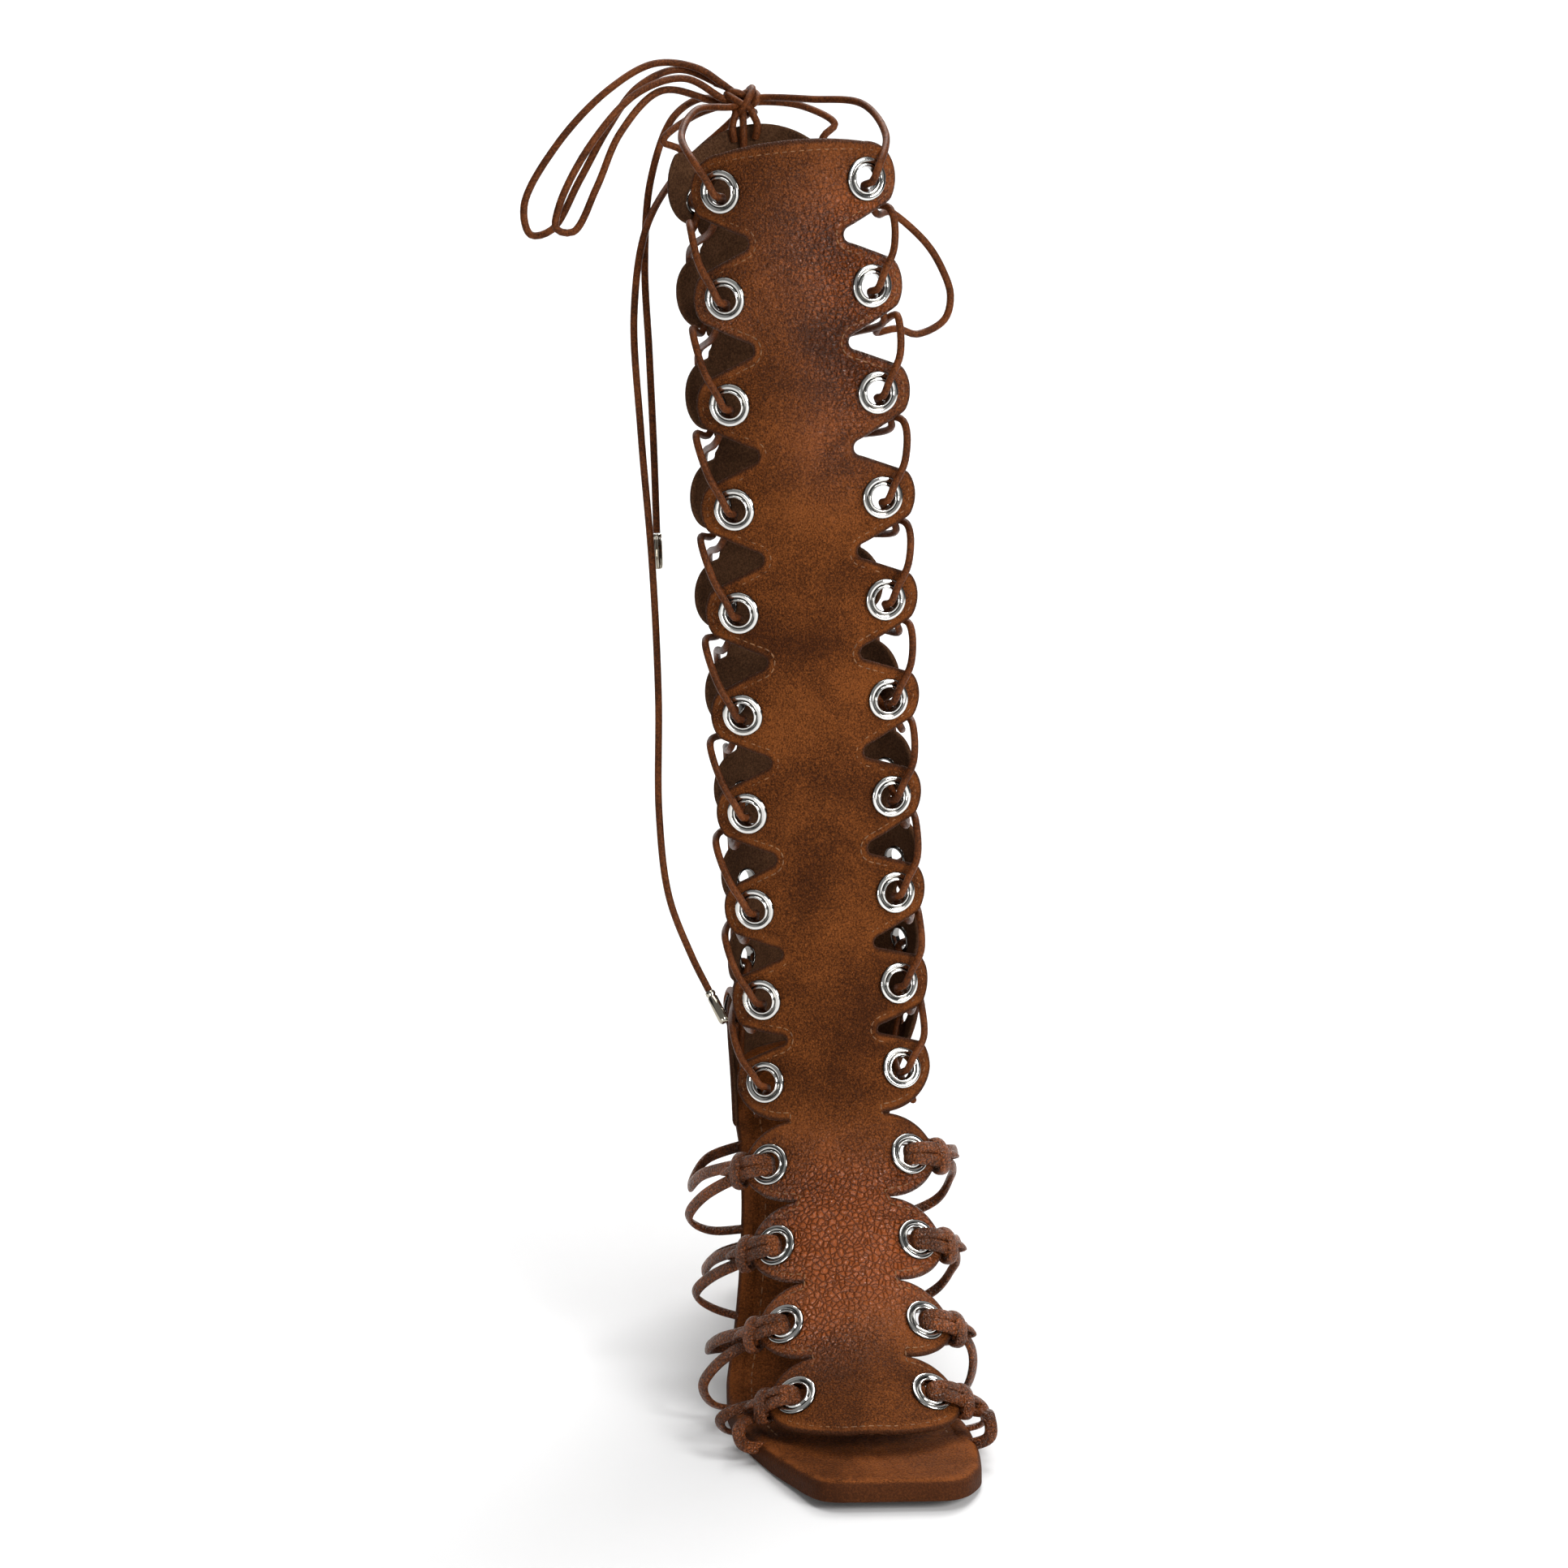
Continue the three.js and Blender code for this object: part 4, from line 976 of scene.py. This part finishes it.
BOW = dict(x=-34.3, y=112, z=428.6)
LOOPS = {
    "bow_loop_outer": [
        (-40, 112, 434), (-49.5, 110, 440), (-63.5, 107, 441.5), (-79, 103, 433), (-96.5, 97, 415),
        (-107.5, 93, 395.5), (-105.5, 92, 386), (-98.5, 93, 387.5), (-89, 96, 403.5), (-79, 100, 421),
        (-69, 106, 434), (-55.5, 111, 439.5), (-39.5, 115.5, 433.5)],
    "bow_loop_inner": [
        (-40.5, 110, 429.5), (-53.5, 105, 436.5), (-69, 99, 432), (-85, 92, 415), (-95.5, 87, 395.5),
        (-96.5, 86, 388), (-91, 87, 387), (-83, 90, 401.5), (-75, 95, 419), (-61.5, 103, 432.5),
        (-43.5, 114, 429)],
}
ENDS = {
    "lace_end_short": [
        (-37.5, 118, 427.5), (-47.5, 119, 430), (-57.5, 115, 424), (-65.5, 110, 403.5), (-68, 106, 376),
        (-67, 103, 345.5), (-66, 101, 313), (-65.5, 100, 284.5)],
    "lace_end_long": [
        (-34.5, 119, 425.5), (-40.5, 124, 420), (-54, 121, 408), (-67, 103, 388), (-71.6, 95, 360),
        (-70, 91, 320), (-67, 90, 275), (-65.6, 86, 230), (-66, 82, 190), (-63, 74, 163), (-55.5, 66, 144),
        (-49.6, 60, 133)],
}
AGLET = dict(radius=1.8, length=12)


def lace_piece(name, route, node=None, radius=LACE):
    made, length = cord_curve(name, route, radius, LACE_LEATHER)
    return belongs(made, node), length


def make_bow():
    centre = np.array([BOW["x"], BOW["y"], BOW["z"]])
    t = np.linspace(0, 2 * math.pi, 72)
    trefoil = stack(np.sin(t) + 2 * np.sin(2 * t), -np.sin(3 * t) * 1.2, np.cos(t) - 2 * np.cos(2 * t))
    wrap = stack(np.cos(t) * 2.8 + 0.6, np.sin(t) * 5.0, np.cos(t) * 4.4 + np.sin(t) * 1.4)
    around = stack(np.cos(t) * 4.6 - 0.6, np.sin(t) * 4.6, np.cos(t) * -3.0 - 0.4)
    lace_piece("bow_knot_strands", centre + trefoil * np.array([1.9, 1.8, 1.6]), "bow_knot")
    lace_piece("bow_knot_wrap", centre + wrap)
    lace_piece("bow_knot_second_wrap", centre + around)
    for name, route in {**LOOPS, **ENDS}.items():
        tips = [(route[0], route[1])] + ([(route[-1], route[-2])] if name in LOOPS else [])
        for number, (tip, following) in enumerate(tips):
            back_in = np.subtract(tip, following)
            stub = [centre, centre * 0.3 + np.array(tip) * 0.7 + back_in * 0.06, tip,
                    (np.array(tip) * 3 + following) / 4]
            lace_piece(f"{name}_root_{number}", stub, radius=LACE * 0.99)
    for number, (across, low) in enumerate(((-3.2, -13), (0.2, -15.5), (4.6, -12))):
        lace_piece(f"bow_knot_tie_{number}", [
            centre + (across * 0.3, -1.5, 0), centre + (across * 0.8, -4.5, -4.5),
            centre + (across * 1.1, -6.3, low * 0.65), centre + (across * 0.9, -5.4, low)])
    for name, route in LOOPS.items():
        made, length = lace_piece(name + "_lace", route, name)
        tuple(v * MM for v in route[0])
    for name, route in ENDS.items():
        made, length = lace_piece(name + "_lace", route, name)
        tag = make_aglet(name.replace("lace_end", "aglet"), route)
        tuple(v * MM for v in route[0])


def make_aglet(node, route):
    """A tube with rounded ends and a groove, crimped on a lace's end."""
    along = unit(np.subtract(route[-1], route[-2]))
    r, half = AGLET["radius"], AGLET["length"] / 2
    profile = [(1.0, -half), (1.5, -half), (r - 0.12, -half + 0.3), (r - 0.05, -half + 1.2),
               (r - 0.35, -half + 1.6), (r - 0.35, -half + 2.0), (r - 0.05, -half + 2.4), (r, 0),
               (r - 0.05, half - 1.4), (r - 0.2, half - 0.5), (1.2, half), (0.02, half + 0.05), (0.02, -half)]
    tag = turned(node + "_tube", profile, 24, AGLET_METAL)
    stand(tag, np.asarray(route[-1]) + along * (half + GAP), along)
    return belongs(tag, node)


# ---------------------------------------------------------------- panels


def round_edge(depth, half, radius):
    k = np.clip(depth / radius, 0, 1)
    return half * np.maximum(np.sqrt(1 - (1 - k) ** 2), 0.12)


def panel_outline(first, last, half_width, run_of, spacing):
    rows = np.linspace(first, last, 9001)
    edge = stack(run_of(rows), half_width(rows))
    return even_loop(np.vstack([edge, (edge * [1, -1])[::-1]]), spacing)


def make_panel(node, middle, first, last, half_width, point, eyelets, creases, grain, stain, spacing):
    run_of, row_of = arc_length(middle, first - 0.05, last + 0.05)
    outline = panel_outline(first, last, half_width, run_of, 0.75)
    holes = [(float(run_of(row)), side * float(across), HOLE["radius"])
             for row, across in eyelets for side in (1, -1)]

    def place(u, v, out):
        return point(row_of(u), v, out)

    def marks(points, depth):
        u, v = points.T
        lift = relief(creases, u, v, run_of)
        lift -= 0.22 * np.exp(-((depth - STITCH_IN) / 0.7) ** 2)
        for cu, cv, _ in holes:
            lift *= np.clip((np.hypot(u - cu, v - cv) - HOLE["flat"]) / HOLE["fade"], 0, 1)
        # The stain mark holds the stain's patches and, on the front panel, painted light.
        return {"lift": lift, "grain": np.clip(relief(grain, u, v, run_of), 0, 1),
                "stain": relief(stain, u, v, run_of)}

    made = cut_piece(node + "_leather", outline, holes, place,
                     lambda d: round_edge(d, WALL / 2, 1.0), lambda d: -round_edge(d, WALL / 2, 0.8),
                     (0.12, 0.4, 0.85, 1.6), spacing, [UPPER, LINING], marks)
    belongs(made, node)
    line = offset_line(outline, STITCH_IN, 0.8)
    line = np.vstack([line, line[:1]])
    stitches(node + "_leather_stitching", line, place, 2.0, 2.7, 0.27, THREAD, WALL / 2 - 0.2)


def make_front_panel():
    first = 1 - TAB / float(front_pitch(1.0))
    last = ROWS + TOE_EDGE / float(front_pitch(float(ROWS)))
    eyelets = [(row, front["eyelet"](row)) for row in range(1, ROWS + 1)]
    make_panel("front_panel", front_middle, first, last, front_half_width, front_point, eyelets,
               FRONT_CREASES, FRONT_GRAIN, FRONT_STAIN_AND_SHEEN, 2.0)


def back_middle(row):
    return stack(back["x"](row) * 0, back["y"](row) * 0, back["z"](row))


def make_back_panel():
    first = 1 - TAB / float(back_pitch(1.0))
    eyelets = [(back_eyelet(row), back["eyelet"](row)) for row in range(1, LACED_ROWS + 1)]
    make_panel("back_panel", back_middle, first, 11.0, back_half_width, back_point, eyelets,
               BACK_CREASES, BACK_GRAIN, BACK_STAIN, 2.4)


# ---------------------------------------------------------------- eyelets

EYELET_PROFILE = [
    (4.0, -1.2), (4.06, -1.42), (4.3, -1.52), (4.75, -1.4), (4.9, -1.15), (4.9, -0.9), (4.75, -0.8),
    (4.75, 1.02), (6.7, 1.04), (6.98, 1.16), (7.05, 1.42), (6.92, 1.78), (6.6, 1.98), (6.0, 2.03),
    (5.5, 1.96), (5.22, 1.72), (5.06, 1.6), (4.92, 1.72), (4.74, 2.12), (4.5, 2.3), (4.24, 2.24),
    (4.06, 2.0), (4.0, 1.5)]


def make_eyelets():
    ring = turned("eyelet_ring", EYELET_PROFILE, 48, NICKEL)
    shape = ring.data
    bpy.data.objects.remove(ring)

    def fit(name, at, spin, node=None):
        made = bpy.data.objects.new(name, shape)
        bpy.context.scene.collection.objects.link(made)
        stand(made, at(0), unit(at(1) - at(-1)), spin)
        belongs(made, node)

    for name, side in SIDES.items():
        for row in range(1, ROWS + 1):
            fit(f"nickel_eyelet_{name}_{row:02d}",
                lambda out: front_point(row, side * front["eyelet"](row), out), row * 0.7 + side,
                f"eyelet_{name}_{row:02d}")
        for row in range(1, LACED_ROWS + 1):
            fit(f"rear_eyelet_{name}_{row:02d}",
                lambda out: back_point(back_eyelet(row), side * back["eyelet"](row), out), row * 0.9 + side)


# ---------------------------------------------------------------- sole, footbed and heel


def sole_outline(inset, spacing):
    ys = np.linspace(SOLE[0]["y"], SOLE[-1]["y"], 1200)
    medial = stack(sole["medial"](ys), ys)
    lateral = stack(sole["lateral"](ys), ys)
    loop = even_loop(np.vstack([medial, lateral[::-1]]), spacing, 1)
    return loop + inward(loop) * inset if inset else loop


ROUNDING = dict(width=3.6, height=2.9)  # of the footbed's wrapped edge
# Soft hollows in the footbed where the ball and the heel rest: middle, half width, half length and depth.
PRINTS = [(-4, -8, 24, 26, 0.5), (-15, 128, 18, 22, 0.7)]


def make_sole():
    loop = sole_outline(0, 1.2)
    top = OUTSOLE + FOOTBED

    def rounding(depth):
        k = np.clip(depth / ROUNDING["width"], 0, 1)
        return ROUNDING["height"] * (1 - np.sqrt(1 - (1 - k) ** 2))

    def wrapped(depth):
        return top - rounding(depth)

    def turned_under(depth):
        k = np.clip(depth / 0.4, 0, 1)
        rim = OUTSOLE - RIM + 0.4 * (1 - np.sqrt(1 - (1 - k) ** 2))
        return rim + RIM * np.clip((depth - 1.0) / 0.5, 0, 1)

    def marks(points, depth):
        x, y = points.T
        sock = np.clip((y + 30) / 8, 0, 1)
        lift = -0.3 * sock * np.clip((depth - 5.6) / 0.6, 0, 1)
        lift -= 0.45 * sock * np.exp(-((depth - 6.0) / 0.55) ** 2)
        lift += 0.9 * rounding(depth) * np.clip((y - 60) / 20, 0, 1)
        for print_x, print_y, wide, long, deep in PRINTS:
            lift -= deep * np.exp(-((x - print_x) / wide) ** 2 - ((y - print_y) / long) ** 2)
        return {"lift": lift}

    made = cut_piece("footbed_wrapped", loop, [], on_sole, wrapped, turned_under,
                     (0.08, 0.35, 0.8, 1.5, 2.5, 3.6, 5.3, 5.7, 6.1, 6.6), 2.4, [SOCK, SOCK], marks)
    belongs(made, "footbed")
    line = offset_line(loop, 8.4, 0.8)
    behind = line[line[:, 1] > -24]
    gap = np.argmax(np.linalg.norm(np.diff(behind, axis=0, append=behind[:1]), axis=1))
    behind = np.roll(behind, -gap - 1, axis=0)
    stitches("footbed_stitching", behind, on_sole, 2.4, 3.4, 0.32, THREAD, top - 0.46)

    low = sole_outline(1.7, 1.4)
    made = cut_piece("outsole_rubber", low, [], on_sole,
                     lambda d: np.full(len(d), OUTSOLE - GAP),
                     lambda d: 0.35 * np.clip(1 - d / 0.5, 0, 1) ** 2,
                     (0.2, 0.5), 3.0, [RUBBER, RUBBER])
    belongs(made, "outsole")


def heel_ring(share, inset=0.0):
    stations = np.interp(np.linspace(0, 1, 26), [0, 0.8, 1], [HEEL["breast"], HEEL["corner"], HEEL["back"]])
    narrow = share ** (1 / HEEL["waist"])
    back_share = (stations - HEEL["breast"]) / (stations[-1] - HEEL["breast"])
    half = (sole["medial"](stations) - sole["lateral"](stations)) / 2 - 1.5
    widest = (sole["medial"](125.0) - sole["lateral"](125.0)) / 2 - 1.5
    sides = []
    for side in (-1, 1):
        seat = sole_point(stations, -GAP, side, 1.5 + inset)
        foot_x = HEEL["x"] + side * (HEEL["width"] / 2 - inset) * half / widest
        foot_y = HEEL["y"] + (back_share - 0.5) * (HEEL["depth"] - 2 * inset)
        floor = HEEL["lift"] + GAP
        sides.append(stack(foot_x * (1 - narrow) + seat[:, 0] * narrow,
                           foot_y * (1 - narrow) + seat[:, 1] * narrow,
                           floor * (1 - share) + seat[:, 2] * share))
    return np.vstack([sides[0], sides[1][::-1]])


def lofted(name, rings, materials):
    count = len(rings[0])
    faces = ring_faces(len(rings), count)
    half = count // 2
    for start, flip in ((0, False), ((len(rings) - 1) * count, True)):
        for k in range(half - 1):
            quad = (start + k, start + k + 1, start + count - 2 - k, start + count - 1 - k)
            faces.append(quad if flip else quad[::-1])
    made = mesh_object(name, np.vstack(rings), faces, None, materials)
    bevel = made.modifiers.new("eased edges", "BEVEL")
    bevel.width, bevel.segments, bevel.limit_method, bevel.angle_limit = 0.0006, 3, "ANGLE", math.radians(50)
    bevel.harden_normals = False
    return made


def make_heel():
    made = lofted("heel_covered", [heel_ring(s) for s in np.linspace(0, 1, 15)], [HEEL_COVER])
    belongs(made, "heel_block")
    foot = heel_ring(0.0)
    levels = [np.column_stack([foot[:, :2], np.full(len(foot), z)]) for z in (0.0, HEEL["lift"])]
    made = lofted("top_lift_rubber", levels, [RUBBER])
    belongs(made, "top_lift")


# ---------------------------------------------------------------- straps


def ring_band(centre, axis, up, tall, deep, wide, thick):
    """A strand wrapped round the other strands: an oval loop about an axis."""
    t = np.linspace(0, 2 * math.pi, 25)[:-1]
    axis, up = unit(axis), unit(up - axis * np.dot(up, axis))
    across = np.cross(axis, up)
    line = centre + up * (np.cos(t) * tall)[:, None] + across * (np.sin(t) * deep)[:, None]
    sides = 12
    turn = circle(sides)
    outward = unit(line - centre)
    ring = (line[:, None] + axis[None, None] * (np.cos(turn) * wide / 2)[None, :, None]
            + outward[:, None] * (np.sin(turn) * thick / 2)[None, :, None])
    return ring.reshape(-1, 3), ring_faces(len(line), sides, True)


# A strap's way up through its eyelet and over the tab: how far past the eyelet's middle, how high over the
# wall's middle, and its share of the spread between the strap's two strands.
EYE = [(2.4, -3.4, 0.6), (-0.2, -1.4, 0.7), (-0.5, 1.2, 0.8), (1.6, 3.0, 0.9), (5.0, 3.8, 1.0),
       (8.6, 3.5, 1.05), (12.2, 2.4, 0.9)]


def make_strap(row, name, side):
    eyelet = float(front["eyelet"](row))
    pitch = float(front_pitch(row))

    def at(across, out, down=0.0):
        return front_point(row + down / pitch, side * across, out)

    down = front_down(float(row))
    knot = at(front["tip"](row) + KNOT - 2.6, 0.8)
    outward = unit(at(eyelet + 12, 0) - at(eyelet + 9, 0))
    lifted = unit(at(eyelet + 10, 1) - at(eyelet + 10, 0))
    parts = []
    for lean in (-1.95, 1.95):
        eye = [at(eyelet + beyond, out, lean * spread) for beyond, out, spread in EYE]
        parts.append(band(eye, down, 4.1, 2.0, 2))
    over = knot + outward * 1.0 + lifted * 0.2
    parts.append(ring_band(knot - outward * 0.6, outward - 0.2 * down, down, 5.6, 3.6, 4.4, 1.9))
    parts.append(ring_band(over, outward + 0.9 * down, down, 5.6, 3.6, 3.6, 1.8))
    for index, tail in enumerate(t for t in TAILS if (t["row"], t["side"]) == (row, name)):
        lean = -2.0 if index == 0 else 2.0
        inside = sole_point(float(tail["station"]), OUTSOLE + FOOTBED / 2, side, 4.0)
        outer, turn = np.array(tail["outer"], float), np.array(tail["turn"], float)
        start = knot + down * lean - outward * 1.5
        leave = knot + down * lean * 1.2 + outward * 4.5
        swell = np.array([side * 0.1, 0, 0.03]) * np.linalg.norm(outer - leave)
        route = [start, leave, (leave + outer) / 2 + swell, outer, turn, inside]
        parts.append(band(route, down, 4.2, 2.0))
    made = joined(f"strap_{name}_{row}_rolled", parts, STRAP_LEATHER)
    belongs(made, f"strap_{name}_{row}")


def make_straps():
    for row in range(LACED_ROWS + 1, ROWS + 1):
        for name, side in SIDES.items():
            make_strap(row, name, side)


# ---------------------------------------------------------------- laces

HOOK = {"medial": 8.8, "lateral": 12.4}  # beyond the eyelet, where a lace hooks under the tab above
LIFT = 4.4  # over the wall's middle, where a lace rides over an eyelet's flange
# A lace's way in through a front eyelet and off behind the panel, and the same through a back eyelet's hole:
# rows down from the eyelet, how far past its middle, and how high over the wall's middle.
FRONT_TURN = [(-0.12, 3.2, LIFT - 0.3), (0.03, 1.3, 2.6), (0.05, 0.6, -0.4), (0.08, 1.6, -3.2),
              (0.34, 7, -LIFT)]
BACK_TURN = [(-0.13, 1.4, 3.6), (0.03, 0.8, 2.4), (0.05, 0.5, -0.4), (0.08, 1.2, -2.8)]
# Where each lace comes in from the bow, and the slack loop that hangs out on the medial side.
ENDS_IN = {
    "medial": {
        "front": [(-33, 111, 429.5), (-27.5, 110.5, 430), (-11.6, 98, 429.3), (4.9, 84, 427.7),
                  (12, 68, 417.6)],
        "back": [(-33, 112, 428), (-27.6, 111.6, 428.6), (-14, 110, 427), (-3.4, 105, 421)]},
    "lateral": {
        "front": [(-34, 110, 428), (-38, 106.2, 427), (-49, 94, 426.4), (-54.4, 76, 418.6),
                  (-51.4, 58, 411.4)],
        "back": [(-35, 112, 428), (-41, 111, 427.4), (-51, 108, 424), (-61, 101, 416)]},
}
SLACK = [(14.4, 78, 392.4), (25.5, 80, 382.6), (31, 82, 374), (34, 83, 365), (32, 83, 357), (22.6, 81, 352.4),
         (16, 79, 354.5)]


def zigzag(side, entry, starts_on_front, slack, hook):
    """A lace's route down one side of the shaft, by turns through the front panel and the back panel."""
    def at_front(row, beyond, out):
        return front_point(row, side * (front["eyelet"](row) + beyond), out)

    def at_back(row, beyond, out):
        return back_point(row, side * (back["eyelet"](row) + beyond), out)

    points = [np.asarray(p, float) for p in entry]
    for row in range(1, LACED_ROWS + 1):
        on_front = (row % 2 == 1) == starts_on_front
        at = at_front if on_front else at_back
        if slack and row == 2:
            points += [np.asarray(p, float) for p in SLACK]
            points.append((at_front(row + 0.5, TAB, 0) + at_back(row + 0.5, TAB, 0)) / 2)
            continue
        if on_front:
            if row > 1:
                points += [at(row - 0.69, hook, 1.0), at(row - 0.34, 7, LIFT)]
            points += [at(row + down, beyond, out) for down, beyond, out in FRONT_TURN]
        else:
            points.append(at(row - 0.36, 2.4, 3.0))
            points += [at(back_eyelet(row) + down, beyond, out) for down, beyond, out in BACK_TURN]
            points.append(at(row + 0.36, 4.5, -3.4))
    return points


def make_laces():
    for name, side in SIDES.items():
        down = zigzag(side, ENDS_IN[name]["front"], True, name == "medial", HOOK[name])
        up = zigzag(side, ENDS_IN[name]["back"], False, False, HOOK[name])
        for label, route in (("front_start", down + [up[-1]]), ("back_start", up)):
            lace_piece(f"lace_{name}_{label}", route, f"lace_{name}")


# ---------------------------------------------------------------- floor and light

# Softboxes: name, place, what each is aimed at, width and height, in metres, and power in watts.
LIGHTS = [
    ("key", (0.95, -0.9, 0.8), (-0.02, 0.03, 0.25), 0.45, 0.6, 15),
    ("fill", (-0.4, -1.4, 0.22), (0, -0.05, 0.04), 0.7, 0.3, 5),
    ("overhead", (0.1, -0.05, 1.7), (0, 0, 0), 1.0, 1.2, 11),
    ("behind", (0.35, 1.1, 1.7), (0, 0, 0.05), 0.8, 0.6, 17),
    ("backdrop", (0, 0.9, 2.3), (0, 2.3, 0.7), 1.8, 0.5, 34),
]


def plain_finish(name, **values):
    material = bpy.data.materials.new(name)
    material.use_nodes = True
    set_plain(material.node_tree.nodes["Principled BSDF"], **values)
    return material


def make_studio():
    size = 3.0
    rise = [(y, 0.0) for y in (-size, -1.0, 0.0, 0.7)]
    rise += [(0.7 + 1.6 * math.sin(a), 1.6 - 1.6 * math.cos(a)) for a in np.radians(np.arange(6, 91, 6))]
    rise += [(2.3, 4.0)]
    points = [(x, y, z) for y, z in rise for x in (-size, size)]
    faces = [(2 * i, 2 * i + 1, 2 * i + 3, 2 * i + 2) for i in range(len(rise) - 1)]
    floor = mesh_object("studio_floor", np.array(points) / MM, faces)
    floor.data.materials.append(plain_finish(
        "white paper", Base_Color=(0.79, 0.79, 0.79, 1), Roughness=0.9, Specular_IOR_Level=0.1))

    world = bpy.data.worlds.new("studio")
    world.use_nodes = True
    world.node_tree.nodes["Background"].inputs["Color"].default_value = (1, 1, 1, 1)
    world.node_tree.nodes["Background"].inputs["Strength"].default_value = 0.24
    bpy.context.scene.world = world

    for name, place, aim, wide, tall, power in LIGHTS:
        light = bpy.data.lights.new(name, "AREA")
        light.shape, light.size, light.size_y, light.energy = "RECTANGLE", wide, tall, power
        made = bpy.data.objects.new(name, light)
        made.location = place
        made.rotation_mode = "QUATERNION"
        made.rotation_quaternion = (Vector(place) - Vector(aim)).to_track_quat("Z", "Y")
        bpy.context.scene.collection.objects.link(made)

    felt = plain_finish("black felt", Base_Color=(0.02, 0.02, 0.02, 1), Roughness=1.0)
    for name, x in (("left_card", -1.6), ("right_card", 1.6)):
        corners = [(x, -0.9, 0.02), (x, 0.9, 0.02), (x, 0.9, 1.5), (x, -0.9, 1.5)]
        card = mesh_object(name, np.array(corners) / MM, [(0, 1, 2, 3)])
        card.data.materials.append(felt)
        card.visible_camera = card.visible_diffuse = card.visible_shadow = False


set_camera()
make_bow()
make_front_panel()
make_back_panel()
make_eyelets()
make_sole()
make_heel()
make_straps()
make_laces()
make_studio()
bpy.context.scene.view_settings.view_transform = "Standard"
